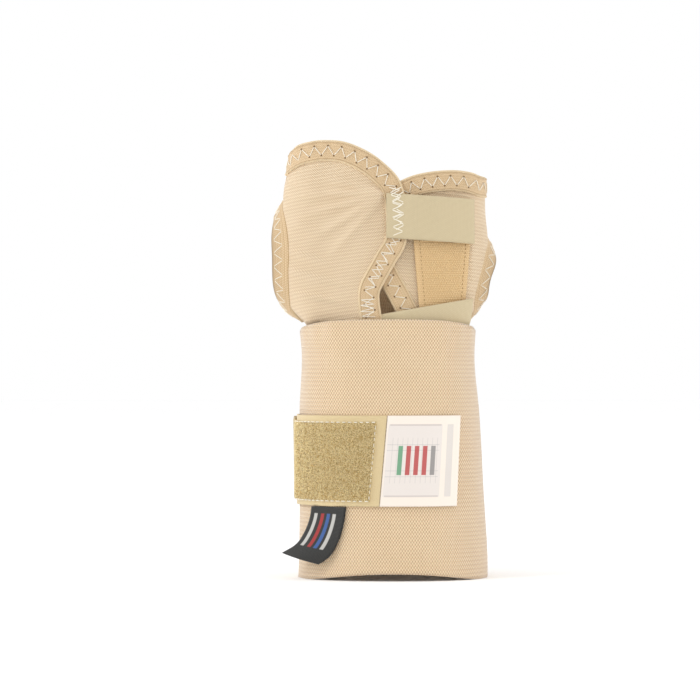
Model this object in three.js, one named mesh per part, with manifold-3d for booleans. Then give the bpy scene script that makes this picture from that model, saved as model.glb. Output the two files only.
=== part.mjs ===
// An elastic wrist splint with a palmar stay, standing on its cuff. Millimetres, +Z towards the fingers,
// -Y the back of the hand, +X the little-finger side of a right hand.
// The shape comes from two families of sections: the inner skin of the fabric and the outside of the cuff.
// Every fabric piece is a slab between two distances from one of these, so layers stack with a clear gap.
import * as THREE from "three";
import { mergeVertices } from "three/addons/utils/BufferGeometryUtils.js";
import Module from "manifold-3d";

const wasm = await Module();
wasm.setup();

// Driving sizes of the sewn goods
const gap = 0.3;
const fabric = 1.4;
const bindingWidth = 9.3;
const bindingThickness = 2.4;
const tape = 1.1;
const pile = 0.8;
const handStrapWidth = 19.6;
const wristStrapWidth = 20;
const patchHeight = 39;
const cuffThickness = 1.6;
const cuffTopMiddle = 112.4;
const cuffBow = 3;

// The palmar stay is bent to one large radius about a centre on the back side, so it slides along itself.
const stayRadius = 1200;
const stayMiddleHeight = 95;
const palmAtMiddle = 26;
const stayWidth = 20;
const stayThickness = 1.6;
const stayBottom = 12;
const stayTop = 158;
const tipWall = 0.6;
const tipCover = 7;
const tipEnd = 1.2;

// Distances from the inner skin of the fabric, stacked outwards
const stripInner = fabric + gap;
const pileInner = stripInner + tape + gap;
const strapInner = pileInner + pile + gap;
const overlapLift = bindingThickness + gap;
const sewnEndInner = overlapLift + bindingThickness + gap;
const cuffBackRoom = 7.6;
const cuffPalmRoom = 10;

// Sections of the inner skin: left and right sides, back of the hand, and the squareness of the oval
const skinStations = [
  { z: 0, left: -35.4, right: 39.8, back: -29.8, power: 2.2 },
  { z: 50, left: -34.4, right: 37.1, back: -26.2, power: 2.2 },
  { z: 96, left: -33.3, right: 33.5, back: -21.5, power: 2.3 },
  { z: 109, left: -34.1, right: 34.1, back: -20.2, power: 2.4 },
  { z: 118, left: -42, right: 37.6, back: -19.4, power: 2.6 },
  { z: 138, left: -46, right: 43.6, back: -18, power: 2.8 },
  { z: 162, left: -45, right: 41.4, back: -16.6, power: 2.8 },
  { z: 192, left: -43.2, right: 41.6, back: -15, power: 2.8 },
];
// Sections of the cuff's outside, at its two sides
const cuffStations = [
  { z: 0, left: -39.4, right: 44, power: 2.2 },
  { z: 46, left: -38.8, right: 41.8, power: 2.4 },
  { z: 72, left: -39, right: 40.3, power: 2.6 },
  { z: 96, left: -38, right: 38.4, power: 3 },
  { z: 113, left: -39, right: 39, power: 3 },
];

// Thumb holes, one on each side, so the splint fits either hand
const holeHeight = 138;
const holeHalfDepth = 12;
const radialHole = { side: -1, height: 138.5, halfHeight: 25.5, flare: 8 };
const ulnarHole = { side: 1, height: 131, halfHeight: 17.5, flare: 6 };
const rimDrop = 6.5;
const holeEase = bindingThickness / 2 + 0.5;
const radialFold = -41.4;
const ulnarFold = 39.3;
const lowFoldDepth = -6.5;
const lowFoldTop = 126;

// Planes well clear of the part, for cutting blocks
const farOut = 70;
const farUp = 200;

const degrees = Math.PI / 180;
const mix = THREE.MathUtils.lerp;
const { smoothstep } = THREE.MathUtils;

// A smooth curve through the stations that never overshoots them
function through(stations, key, z) {
  const last = stations.length - 1;
  const slope = (i) => (stations[i + 1][key] - stations[i][key]) / (stations[i + 1].z - stations[i].z);
  const tangent = (i) => {
    if (i === 0 || i === last) return 0;
    const [before, after] = [slope(i - 1), slope(i)];
    return before * after > 0 ? (2 * before * after) / (before + after) : 0;
  };
  const height = THREE.MathUtils.clamp(z, stations[0].z, stations[last].z);
  let i = 0;
  while (i < last - 1 && height > stations[i + 1].z) i += 1;
  const span = stations[i + 1].z - stations[i].z;
  const s = (height - stations[i].z) / span;
  const rise = s * s * (3 - 2 * s);
  const start = s * (1 - s) * (1 - s) * span * tangent(i);
  const end = s * s * (s - 1) * span * tangent(i + 1);
  return mix(stations[i][key], stations[i + 1][key], rise) + start + end;
}

const palmLine = (z) => palmAtMiddle - (z - stayMiddleHeight) ** 2 / (2 * stayRadius);

function section(left, right, back, palm, power) {
  return {
    centre: [(left + right) / 2, (back + palm) / 2],
    half: [(right - left) / 2, (palm - back) / 2],
    power,
  };
}

function skin(z) {
  const at = (key) => through(skinStations, key, z);
  return section(at("left"), at("right"), at("back"), palmLine(z), at("power"));
}

function cuff(z) {
  const back = through(skinStations, "back", z) - cuffBackRoom;
  const at = (key) => through(cuffStations, key, z);
  return section(at("left"), at("right"), back, palmLine(z) + cuffPalmRoom, at("power"));
}

// A point of a section at an angle (0 towards +X, 90 towards the palm), grown outwards by a distance
function onSection({ centre, half, power }, angle, distance, z) {
  const [c, s] = [Math.cos(angle * degrees), Math.sin(angle * degrees)];
  const reach = (value, radius) => Math.sign(value) * Math.abs(value) ** (2 / power) * (radius + distance);
  return new THREE.Vector3(centre[0] + reach(c, half[0]), centre[1] + reach(s, half[1]), z);
}

// The angle on the back side of a section where it stands at a given x
function angleAt({ centre, half, power }, x, distance) {
  const share = THREE.MathUtils.clamp((x - centre[0]) / (half[0] + distance), -1, 1);
  return 360 - Math.acos(Math.sign(share) * Math.abs(share) ** (power / 2)) / degrees;
}

function drape(surface, x, z, distance) {
  const shape = surface(z);
  return onSection(shape, angleAt(shape, x, distance), distance, z);
}

function signedVolume(positions, triangles) {
  const corner = (i) => new THREE.Vector3().fromArray(positions, 3 * i);
  let total = 0;
  for (let i = 0; i < triangles.length; i += 3) {
    const [a, b, c] = [corner(triangles[i]), corner(triangles[i + 1]), corner(triangles[i + 2])];
    total += a.dot(b.cross(c));
  }
  return total;
}

// A closed solid from a grid of points: place(u, v, side) gives the inner (side 0) and outer (side 1) skin.
function slab(columns, rows, place, ring = false) {
  const across = ring ? columns : columns + 1;
  const at = (side, i, j) => (side * across + (i % across)) * (rows + 1) + j;
  const positions = [];
  for (const side of [0, 1]) {
    for (let i = 0; i < across; i += 1) {
      for (let j = 0; j <= rows; j += 1) positions.push(...place(i / columns, j / rows, side).toArray());
    }
  }
  const triangles = [];
  const quad = (a, b, c, d) => triangles.push(a, b, c, a, c, d);
  for (let i = 0; i < columns; i += 1) {
    for (let j = 0; j < rows; j += 1) {
      quad(at(1, i, j), at(1, i + 1, j), at(1, i + 1, j + 1), at(1, i, j + 1));
      quad(at(0, i, j), at(0, i, j + 1), at(0, i + 1, j + 1), at(0, i + 1, j));
    }
    quad(at(0, i, 0), at(0, i + 1, 0), at(1, i + 1, 0), at(1, i, 0));
    quad(at(1, i, rows), at(1, i + 1, rows), at(0, i + 1, rows), at(0, i, rows));
  }
  for (let j = 0; j < rows && !ring; j += 1) {
    quad(at(0, 0, j), at(1, 0, j), at(1, 0, j + 1), at(0, 0, j + 1));
    quad(at(1, columns, j), at(0, columns, j), at(0, columns, j + 1), at(1, columns, j + 1));
  }
  if (signedVolume(positions, triangles) < 0) triangles.reverse();
  const geometry = new THREE.BufferGeometry();
  geometry.setAttribute("position", new THREE.Float32BufferAttribute(positions, 3));
  geometry.setIndex(triangles);
  return geometry;
}

function toManifold(geometry) {
  const bare = geometry.clone();
  bare.deleteAttribute("normal");
  bare.deleteAttribute("uv");
  const welded = mergeVertices(bare);
  return new wasm.Manifold(
    new wasm.Mesh({
      numProp: 3,
      vertProperties: new Float32Array(welded.attributes.position.array),
      triVerts: new Uint32Array(welded.index.array),
    }),
  );
}

function fromManifold(solid) {
  const { vertProperties, triVerts } = solid.getMesh();
  const geometry = new THREE.BufferGeometry();
  geometry.setAttribute("position", new THREE.Float32BufferAttribute(vertProperties, 3));
  geometry.setIndex([...triVerts]);
  return geometry;
}

function cut(geometry, { keep = [], remove = [] }) {
  let solid = toManifold(geometry);
  for (const tool of keep) solid = solid.intersect(toManifold(tool));
  for (const tool of remove) solid = solid.subtract(toManifold(tool));
  return fromManifold(solid);
}

function block(low, high) {
  const size = high.map((value, i) => value - low[i]);
  const middle = high.map((value, i) => (value + low[i]) / 2);
  return new THREE.BoxGeometry(...size).translate(...middle);
}

// A prism along Y whose outline is drawn from the front, in x and z
const prismReach = 60;
function frontPrism(outline) {
  const shape = new THREE.Shape(outline.map(([x, z]) => new THREE.Vector2(x, z)));
  const solid = new THREE.ExtrudeGeometry(shape, { depth: 2 * prismReach, bevelEnabled: false });
  return solid.rotateX(Math.PI / 2).translate(0, prismReach, 0);
}

// An oval prism along X through one side only, for a thumb hole
function holePrism({ side, height, halfHeight }, growth) {
  const shape = new THREE.Shape();
  shape.absellipse(0, 0, holeHalfDepth + growth, halfHeight + growth, 0, 2 * Math.PI);
  const solid = new THREE.ExtrudeGeometry(shape, { depth: prismReach, bevelEnabled: false, curveSegments: 20 });
  solid.rotateX(Math.PI / 2).rotateZ(Math.PI / 2);
  return solid.translate(side < 0 ? -prismReach : 0, sideMiddle(), height);
}

const sideMiddle = () => skin(holeHeight).centre[1];

const curveThrough = (points) => new THREE.SplineCurve(points.map(([x, z]) => new THREE.Vector2(x, z)));

// A point beside a front curve, at a share of its length and a distance to its left
function beside(curve, share, distance) {
  const point = curve.getPointAt(share);
  const along = curve.getTangentAt(share);
  return [point.x - along.y * distance, point.y + along.x * distance];
}

function besideCurve(curve, distance, steps) {
  return Array.from({ length: steps + 1 }, (_, i) => beside(curve, i / steps, distance));
}

// A binding: a flat band along a front curve, lying on the skin with its middle on the curve
function binding(curve, steps, lift) {
  return slab(steps, 1, (u, v, side) => {
    const [x, z] = beside(curve, u, (v - 0.5) * bindingWidth);
    return drape(skin, x, z, lift(x) + side * bindingThickness);
  });
}

// A four-sided piece of tape given by its left and right ends and its lower and upper edges
function tapePiece(surface, { left, right, low, high, inner, outer, columns, rows }) {
  return slab(columns, rows, (u, v, side) => {
    const span = [left(mix(low(0), high(0), v)), right(mix(low(1), high(1), v))];
    const x = mix(span[0], span[1], u);
    const z = mix(low(x), high(x), v);
    return drape(surface, x, z, side ? outer(x) : inner(x));
  });
}

const constant = (value) => () => value;
const line = ([x0, z0], [x1, z1]) => (x) => z0 + ((x - x0) * (z1 - z0)) / (x1 - x0);

// ---- Edges seen from the front ----
const radialEdge = curveThrough([
  [radialFold + 1.6, 183.2],
  [-37, 184.2],
  [-29.3, 186],
  [-20, 185.2],
  [-10.7, 181.2],
  [-4, 176.2],
  [1, 170.6],
  [3, 163],
  [3.6, 148],
  [-0.8, 139.2],
  [-5.4, 131],
  [-8, 125.5],
  [-8.3, 120],
  [-7.4, 113.9],
]);
const ulnarEdge = curveThrough([
  [8.6, 115.6],
  [4.5, 123.5],
  [0, 131.5],
  [-3, 138],
  [-4.4, 147],
  [-3, 157],
  [2, 164.8],
  [10, 169.8],
  [18.8, 172.1],
  [28.4, 172.9],
  [ulnarFold - 0.2, 171.2],
]);
const noLift = constant(0);
const radialLift = (x) => overlapLift * smoothstep(x, -30, -10);

// The cuff's upper edge stands a little higher on the back than at its sides.
const cuffTop = (angle) => 107 + (cuffTopMiddle - 107) * Math.max(0, -Math.sin(angle * degrees)) ** 0.8;
const cuffBottom = (angle) => cuffBow * (Math.max(0, -Math.sin(angle * degrees) - 0.4) / 0.6) ** 2;

// ---- Hand part ----
const palmTopAtRadial = 181;
const palmTopAtMiddle = 168.5;
const palmTopAtUlnar = 170.5;
const panelStart = -33;
const panelEnd = 250;
const panelBottom = 4;
const panelBend = 109;
const ringBottom = 88;
const lowPanelHalfWidth = 26;

function palmTop(angle) {
  const radial = smoothstep(angle, 100, 180);
  const ulnar = 1 - smoothstep(angle, 0, 80);
  const radialRise = radial * (palmTopAtRadial - palmTopAtMiddle);
  const ulnarRise = ulnar * (palmTopAtUlnar - palmTopAtMiddle);
  return palmTopAtMiddle + radialRise + ulnarRise;
}

function palmPanel() {
  const shell = slab(28, 18, (u, v, side) => {
    const angle = mix(panelStart, panelEnd, u);
    const top = palmTop(angle) - bindingWidth / 2 - gap;
    const z = v < 0.5 ? mix(panelBottom, panelBend, 2 * v) : mix(panelBend, top, 2 * v - 1);
    return onSection(skin(z), angle, side * fabric, z);
  });
  const backLimit = sideMiddle() + 0.6;
  const aboveCuff = [
    block([radialFold - gap, -farOut, cuffTopMiddle], [ulnarFold + gap, lowFoldDepth + gap, farUp]),
    block([radialFold - gap, -farOut, lowFoldTop], [ulnarFold + gap, backLimit, farUp]),
  ];
  const ulnarBack = block([0, -farOut, 0], [ulnarFold + gap, backLimit, farUp]);
  const lowSides = [
    block([-farOut, -farOut, 0], [-lowPanelHalfWidth, farOut, ringBottom]),
    block([lowPanelHalfWidth, -farOut, 0], [farOut, farOut, ringBottom]),
    block([-farOut, -farOut, 0], [farOut, 0, ringBottom]),
  ];
  const thumbHoles = [holePrism(radialHole, holeEase), holePrism(ulnarHole, holeEase)];
  return cut(shell, { remove: [...thumbHoles, ...aboveCuff, ulnarBack, ...lowSides] });
}

function palmUpperBinding() {
  const inward = 1;
  return slab(26, 1, (u, v, side) => {
    const foldAngle = (x, z) => angleAt(skin(z), x, -inward);
    const start = foldAngle(ulnarFold + gap, palmTopAtUlnar) - 360;
    const end = foldAngle(radialFold - gap, palmTopAtRadial);
    const angle = mix(start, end, u);
    const z = palmTop(angle) + (v - 0.5) * bindingWidth;
    return onSection(skin(z), angle, side ? fabric : -inward, z);
  });
}

function radialFlap() {
  const bottom = cuffTopMiddle + 0.5;
  const [top, inwardEnd] = [191, 8];
  const shell = slab(16, 12, (u, v, side) => {
    const z = mix(bottom, top, v);
    const x = mix(radialFold, inwardEnd, u);
    return drape(skin, x, z, radialLift(x) + side * fabric);
  });
  const inside = besideCurve(radialEdge, -(bindingWidth / 2 + gap), 40);
  const below = bottom - 10;
  const outline = frontPrism([...inside, [inside.at(-1)[0], below], [-farOut, below], [-farOut, inside[0][1]]]);
  const besideHole = block([-farOut, lowFoldDepth, below], [radialFold / 2, farOut, lowFoldTop + gap]);
  return cut(shell, { keep: [outline], remove: [holePrism(radialHole, holeEase), besideHole] });
}

function ulnarFlap() {
  const [top, inwardEnd] = [176, -6];
  const shell = slab(14, 12, (u, v, side) => {
    const z = mix(ringBottom, top, v);
    return drape(skin, mix(inwardEnd, ulnarFold, u), z, side * fabric);
  });
  const inside = besideCurve(ulnarEdge, -(bindingWidth / 2 + gap), 40);
  const below = ringBottom - 8;
  const outline = frontPrism([...inside, [farOut, inside.at(-1)[1]], [farOut, below], [inside[0][0], below]]);
  return cut(shell, { keep: [outline], remove: [holePrism(ulnarHole, holeEase)] });
}

// A flared collar round a thumb hole: its foot sits in the hole and its rim stands outwards.
function thumbHoleBinding({ side, height: middleHeight, halfHeight, flare }) {
  const rimAt = (turn, share) => {
    const y = sideMiddle() + holeHalfDepth * Math.cos(turn);
    const z = middleHeight + (halfHeight - rimDrop * share) * Math.sin(turn);
    const { centre, half, power } = skin(z);
    const depthShare = Math.min(1, Math.abs((y - centre[1]) / half[1]));
    const x = centre[0] + side * half[0] * (1 - depthShare ** power) ** (1 / power);
    const height = flare * share * (0.4 + 0.6 * Math.cos(turn) ** 2);
    return new THREE.Vector3(x + side * height, y, z);
  };
  return slab(
    32,
    2,
    (u, v, skinSide) => {
      const turn = 2 * Math.PI * u;
      const width = rimAt(turn, 1).sub(rimAt(turn, 0));
      const along = rimAt(turn + 0.01, 0.5).sub(rimAt(turn - 0.01, 0.5));
      const out = along.cross(width).normalize();
      return rimAt(turn, v).addScaledVector(out, (skinSide - 0.5) * bindingThickness);
    },
    true,
  );
}

// ---- Back of the hand: hook strip and the two straps ----
const handStrapTop = line([-1.3, 167.3], [37.7, 164.8]);
const handStrapLow = (x) => handStrapTop(x) - handStrapWidth;
const sewnEndLeft = -1;
const sewnEndRight = 7;
const wristStrapTop = line([-6.7, 114], [37, 121.7]);
const wristStrapLow = (x) => wristStrapTop(x) - wristStrapWidth;
const stripLow = 94;
const stripHigh = 163;
const tapeRight = 37.4;
const pileInset = 1;
const strapLanding = 13;
const handPileLeft = 14;
const wristPileLeft = 13;
const wristStrapLeft = -1.3;

function fastenerStrip() {
  const stripLeft = line([132, 12.6], [182, 9.6]);
  const stripRight = line([132, 35], [182, 39]);
  return tapePiece(skin, {
    left: stripLeft,
    right: stripRight,
    low: constant(stripLow),
    high: constant(stripHigh),
    inner: constant(stripInner),
    outer: constant(stripInner + tape),
    columns: 6,
    rows: 8,
  });
}

function handStrapSewnEnd() {
  return tapePiece(skin, {
    left: constant(sewnEndLeft),
    right: constant(sewnEndRight),
    low: handStrapLow,
    high: handStrapTop,
    inner: constant(sewnEndInner),
    outer: constant(sewnEndInner + tape),
    columns: 2,
    rows: 2,
  });
}

function handStrap() {
  const inner = (x) => mix(sewnEndInner, strapInner, smoothstep(x, sewnEndRight, strapLanding));
  return tapePiece(skin, {
    left: constant(sewnEndRight + gap),
    right: constant(tapeRight),
    low: handStrapLow,
    high: handStrapTop,
    inner,
    outer: (x) => inner(x) + tape,
    columns: 10,
    rows: 2,
  });
}

function handStrapPile() {
  return tapePiece(skin, {
    left: constant(handPileLeft),
    right: constant(tapeRight - pileInset),
    low: (x) => handStrapLow(x) + pileInset,
    high: (x) => handStrapTop(x) - pileInset,
    inner: constant(pileInner),
    outer: constant(pileInner + pile),
    columns: 8,
    rows: 2,
  });
}

// Below the cuff's upper edge the wrist strap is narrower, so that it stays inside the curve of the cuff.
const underCuffLeft = 27;
const underCuffCorner = () => block([underCuffLeft, -farOut, 0], [farOut, 0, cuffTopMiddle + 0.4]);

function wristStrap() {
  const whole = tapePiece(skin, {
    left: constant(wristStrapLeft),
    right: constant(tapeRight),
    low: wristStrapLow,
    high: wristStrapTop,
    inner: constant(strapInner),
    outer: constant(strapInner + tape),
    columns: 12,
    rows: 3,
  });
  return cut(whole, { remove: [underCuffCorner()] });
}

function wristStrapPile() {
  const whole = tapePiece(skin, {
    left: constant(wristPileLeft),
    right: constant(tapeRight - pileInset),
    low: (x) => wristStrapLow(x) + pileInset,
    high: (x) => wristStrapTop(x) - pileInset,
    inner: constant(pileInner),
    outer: constant(pileInner + pile),
    columns: 8,
    rows: 3,
  });
  return cut(whole, { remove: [underCuffCorner()] });
}

// ---- Palmar stay in its pocket ----
// Everything here is laid out by height along the stay's own arc and by depth outwards from the palm line.
function alongStay(x, z, depth) {
  const turn = (z - stayMiddleHeight) / stayRadius;
  const radius = stayRadius + depth;
  const centreY = palmAtMiddle - stayRadius;
  return new THREE.Vector3(x, centreY + radius * Math.cos(turn), stayMiddleHeight + radius * Math.sin(turn));
}

function arcBar(halfWidth, low, high, inner, outer, rows) {
  return slab(1, rows, (u, v, side) =>
    alongStay(mix(halfWidth, -halfWidth, u), mix(low, high, v), side ? outer : inner),
  );
}

const tipInner = fabric + gap;
const stayInner = tipInner + tipWall + gap;
const stayOuter = stayInner + stayThickness;
const tipOuter = stayOuter + gap + tipWall;
const tipHalfWidth = stayWidth / 2 + gap + tipWall;
const pocketInner = tipOuter + gap;
const pocketOuter = pocketInner + 1;
const pocketHalfWidth = tipHalfWidth + 2;
const pocketBottom = 5;
const pocketTop = 162;
const mouthHeight = 8;

function palmarStay() {
  return arcBar(stayWidth / 2, stayBottom, stayTop, stayInner, stayOuter, 12);
}

// A soft cap over one end of the stay, with a slot that the stay's end sits in
function stayTip(end, away) {
  const outside = [end - away * tipCover, end + away * (gap + tipEnd)].sort((a, b) => a - b);
  const openEnd = tipCover + 2;
  const slot = [end - away * openEnd, end + away * gap].sort((a, b) => a - b);
  const cap = arcBar(tipHalfWidth, ...outside, tipInner, tipOuter, 1);
  const room = arcBar(stayWidth / 2 + gap, ...slot, stayInner - gap, stayOuter + gap, 1);
  return cut(cap, { remove: [room] });
}

// The pocket is a cover sewn down along both sides and its foot, open at the top.
function stayPocket() {
  const wallFoot = fabric + gap + 0.2;
  const wall = 1.6;
  const footWall = 2;
  const pastTop = pocketTop + 9;
  const insidePanel = -4;
  const cover = arcBar(pocketHalfWidth, pocketBottom, pocketTop, wallFoot, pocketOuter, 12);
  const room = arcBar(pocketHalfWidth - wall, pocketBottom + footWall, pastTop, insidePanel, pocketInner, 12);
  return cut(cover, { remove: [room] });
}

function pocketMouthBinding() {
  const inner = pocketOuter + gap;
  return arcBar(pocketHalfWidth, pocketTop - mouthHeight, pocketTop, inner, inner + tape, 1);
}

// ---- Cuff ----
const cuffSeam = 124;
const cuffHinge = 10;
const cuffEndReach = 121;
const hingeSlit = 0.7;
const cuffSlit = 1.8;

function cuffLayer(from, to, columns) {
  return slab(columns, 10, (u, v, side) => {
    const angle = mix(from, to, u);
    const z = mix(cuffBottom(angle), cuffTop(angle), v);
    return onSection(cuff(z), angle, (side - 1) * cuffThickness, z);
  });
}

const cuffBand = () => cuffLayer(cuffSeam, 360 + cuffHinge, 32);
const cuffEnd = () => cuffLayer(cuffHinge + cuffSlit, cuffEndReach, 16);

const patchLow = 32;
const patchHigh = patchLow + patchHeight;
const patchOutside = 2.2;
const patchFromSeam = 4;
const labelThickness = 0.7;
const endClearance = 0.2;
const patchRight = line([patchLow, -3.9], [patchHigh, -0.4]);
const labelRight = line([patchLow, 29.5], [patchHigh, 31.3]);

function loopPatch() {
  return slab(20, 4, (u, v, side) => {
    const z = mix(patchLow, patchHigh, v);
    const shape = cuff(z);
    const distance = side ? patchOutside : gap;
    const rightAngle = angleAt(shape, patchRight(z) - endClearance, distance);
    const angle = mix(cuffSeam + patchFromSeam, rightAngle, u);
    return onSection(shape, angle, distance, z);
  });
}

function blankLabel() {
  return tapePiece(cuff, {
    left: (z) => patchRight(z) + endClearance,
    right: labelRight,
    low: constant(patchLow),
    high: constant(patchHigh),
    inner: constant(gap),
    outer: constant(gap + labelThickness),
    columns: 8,
    rows: 4,
  });
}

const tabLow = 33;
const tabHigh = 70;
const tabBack = 96;
const tabHinge = 112;
const tabReach = 160;
const tabRiseTurn = 14;
const hooksStart = 131;
const hooksEnd = 158;
const hooksThickness = 1;
const hooksInset = 1;
const tabHooksInner = 2.5;
const tabInner = tabHooksInner + hooksThickness + gap;

function cuffStrip(from, to, columns, inner, thickness, inset = 0) {
  return slab(columns, 3, (u, v, side) => {
    const angle = mix(from, to, u);
    const z = mix(tabLow + inset, tabHigh - inset, v);
    return onSection(cuff(z), angle, inner(angle) + side * thickness, z);
  });
}

const tabSewnEnd = () => cuffStrip(tabBack, tabHinge, 3, constant(gap), tape);
const tabRise = (angle) => mix(gap, tabInner, smoothstep(angle, tabHinge, tabHinge + tabRiseTurn));
const closureTab = () => cuffStrip(tabHinge + hingeSlit, tabReach, 10, tabRise, tape);
const closureTabHooks = () =>
  cuffStrip(hooksStart, hooksEnd, 6, constant(tabHooksInner), hooksThickness, hooksInset);

// A folded label sewn in by its upper edge, leaning to the radial side and standing off the cuff
function sideLabel() {
  const top = 30.5;
  const [topLeft, topRight] = [-32.7, -18.1];
  const foot = { left: [-43.2, 11.4], right: [-27.8, 6.9] };
  const standOff = { left: 5, right: 3.5 };
  const thickness = 1;
  const curlDepth = 1.6;
  const offCuff = gap + thickness;
  const sewnAt = (share) => drape(cuff, mix(topLeft, topRight, share), top, offCuff);
  const across = sewnAt(1).sub(sewnAt(0)).normalize();
  const out = new THREE.Vector3(across.y, -across.x, 0);
  return slab(4, 5, (u, v, side) => {
    const start = sewnAt(0).lerp(sewnAt(1), u);
    const end = start.clone();
    const reach = (mix(foot.left[0], foot.right[0], u) - start.x) / across.x;
    end.addScaledVector(across, reach).addScaledVector(out, mix(standOff.left, standOff.right, u));
    end.z = mix(foot.left[1], foot.right[1], u);
    const bulge = curlDepth * Math.sin(Math.PI * Math.sqrt(1 - v));
    const curl = out.clone().multiplyScalar(bulge + side * thickness);
    return end.lerp(start, v).add(curl);
  });
}

// ---- Materials and nodes ----
const colours = {
  knit: "#e9d0ab",
  binding: "#dec39d",
  tape: "#d1c39f",
  hookTape: "#dec08f",
  cuff: "#e6caa2",
  loop: "#c9ae7c",
  whiteLabel: "#f6f0e8",
  blackLabel: "#3b3b39",
  metal: "#b9bcc0",
  softCap: "#e8e4da",
};

const pieces = [
  ["palm_panel", palmPanel(), "knit"],
  ["palm_upper_binding", palmUpperBinding(), "binding"],
  ["ulnar_flap", ulnarFlap(), "knit"],
  ["ulnar_flap_binding", binding(ulnarEdge, 30, noLift), "binding"],
  ["fastener_strip", fastenerStrip(), "hookTape"],
  ["thumb_hole_binding_radial", thumbHoleBinding(radialHole), "binding"],
  ["thumb_hole_binding_ulnar", thumbHoleBinding(ulnarHole), "binding"],
  ["wrist_strap", wristStrap(), "tape"],
  ["wrist_strap_pile", wristStrapPile(), "loop"],
  ["stay_pocket", stayPocket(), "knit"],
  ["pocket_mouth_binding", pocketMouthBinding(), "binding"],
  ["cuff_band", cuffBand(), "cuff"],
  ["loop_patch", loopPatch(), "loop"],
  ["blank_label", blankLabel(), "whiteLabel"],
  ["radial_flap", radialFlap(), "knit"],
  ["radial_flap_binding", binding(radialEdge, 34, radialLift), "binding"],
  ["hand_strap_sewn_end", handStrapSewnEnd(), "tape"],
  ["hand_strap", handStrap(), "tape"],
  ["hand_strap_pile", handStrapPile(), "loop"],
  ["cuff_end", cuffEnd(), "cuff"],
  ["closure_tab_sewn_end", tabSewnEnd(), "tape"],
  ["closure_tab", closureTab(), "tape"],
  ["closure_tab_hooks", closureTabHooks(), "hookTape"],
  ["palmar_stay", palmarStay(), "metal"],
  ["stay_tip_upper", stayTip(stayTop, 1), "softCap"],
  ["stay_tip_lower", stayTip(stayBottom, -1), "softCap"],
  ["side_label", sideLabel(), "blackLabel"],
];

function meshFor([name, geometry, colour]) {
  const metallic = colour === "metal";
  const material = new THREE.MeshStandardMaterial({
    color: colours[colour],
    roughness: metallic ? 0.4 : 0.9,
    metalness: metallic ? 1 : 0,
  });
  const mesh = new THREE.Mesh(geometry, material);
  mesh.name = name;
  return mesh;
}

// The finished part stands on z = 0 with the middle of its box over the origin.
const splint = new THREE.Group();
splint.name = "wrist_splint";
splint.add(...pieces.map(meshFor));
const bounds = new THREE.Box3().setFromObject(splint);
const middle = bounds.getCenter(new THREE.Vector3());
for (const mesh of splint.children) mesh.geometry.translate(-middle.x, -middle.y, -bounds.min.z);

export default splint;
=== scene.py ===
import math

import bpy
import numpy as np
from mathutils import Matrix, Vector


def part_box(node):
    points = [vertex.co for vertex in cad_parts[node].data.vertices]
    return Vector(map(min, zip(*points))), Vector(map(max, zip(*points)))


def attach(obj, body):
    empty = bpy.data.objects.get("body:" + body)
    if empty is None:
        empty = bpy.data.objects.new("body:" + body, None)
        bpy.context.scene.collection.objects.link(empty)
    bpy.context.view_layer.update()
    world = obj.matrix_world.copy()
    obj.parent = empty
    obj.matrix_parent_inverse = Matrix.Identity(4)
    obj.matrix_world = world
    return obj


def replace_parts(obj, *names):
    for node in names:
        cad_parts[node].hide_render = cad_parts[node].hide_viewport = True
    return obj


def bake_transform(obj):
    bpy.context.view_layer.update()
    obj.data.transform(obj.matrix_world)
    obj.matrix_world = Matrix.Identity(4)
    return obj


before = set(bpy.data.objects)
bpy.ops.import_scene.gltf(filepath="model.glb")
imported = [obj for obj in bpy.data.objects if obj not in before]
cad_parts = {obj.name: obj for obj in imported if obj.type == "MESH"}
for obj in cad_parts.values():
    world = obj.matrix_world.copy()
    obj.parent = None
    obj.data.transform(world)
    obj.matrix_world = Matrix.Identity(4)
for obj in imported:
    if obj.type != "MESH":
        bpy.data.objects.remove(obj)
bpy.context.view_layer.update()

# An elastic wrist splint, sewn from knit, woven elastic, tapes and bindings.
# Shapes are laid out in millimetres in the part's own drawing frame and moved to the shared frame at the end.
MM = 0.001
RANDOM = np.random.default_rng(7)

# ---- Places taken from the frame ----
# The label's right end and the palm panel's outside tell how far the drawing frame lies from the shared one.
LABEL_HIGH = np.array(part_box("blank_label")[1]) / MM
PALM_HIGH = np.array(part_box("palm_panel")[1]) / MM
LABEL_RIGHT = 31.3
PALM_DEPTH = 27.4
SHIFT = np.array([LABEL_HIGH[0] - LABEL_RIGHT, PALM_HIGH[1] - PALM_DEPTH, 0.0])


def in_frame(point):
    """A drawing point in millimetres as a point of the shared frame in metres."""
    return tuple((np.array(point) + SHIFT) * MM)


# ---- Sewn goods ----
FABRIC = 1.4
GAP = 0.3
BINDING_WIDTH = 9.3
BINDING = 2.4
TAPE = 1.1
PILE = 0.8
CUFF_THICKNESS = 1.6
STRIP_INNER = FABRIC + GAP
PILE_INNER = STRIP_INNER + TAPE + GAP
STRAP_INNER = PILE_INNER + PILE + GAP
OVERLAP_LIFT = BINDING + GAP
SEWN_INNER = OVERLAP_LIFT + BINDING + GAP
THREAD = 0.16

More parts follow.
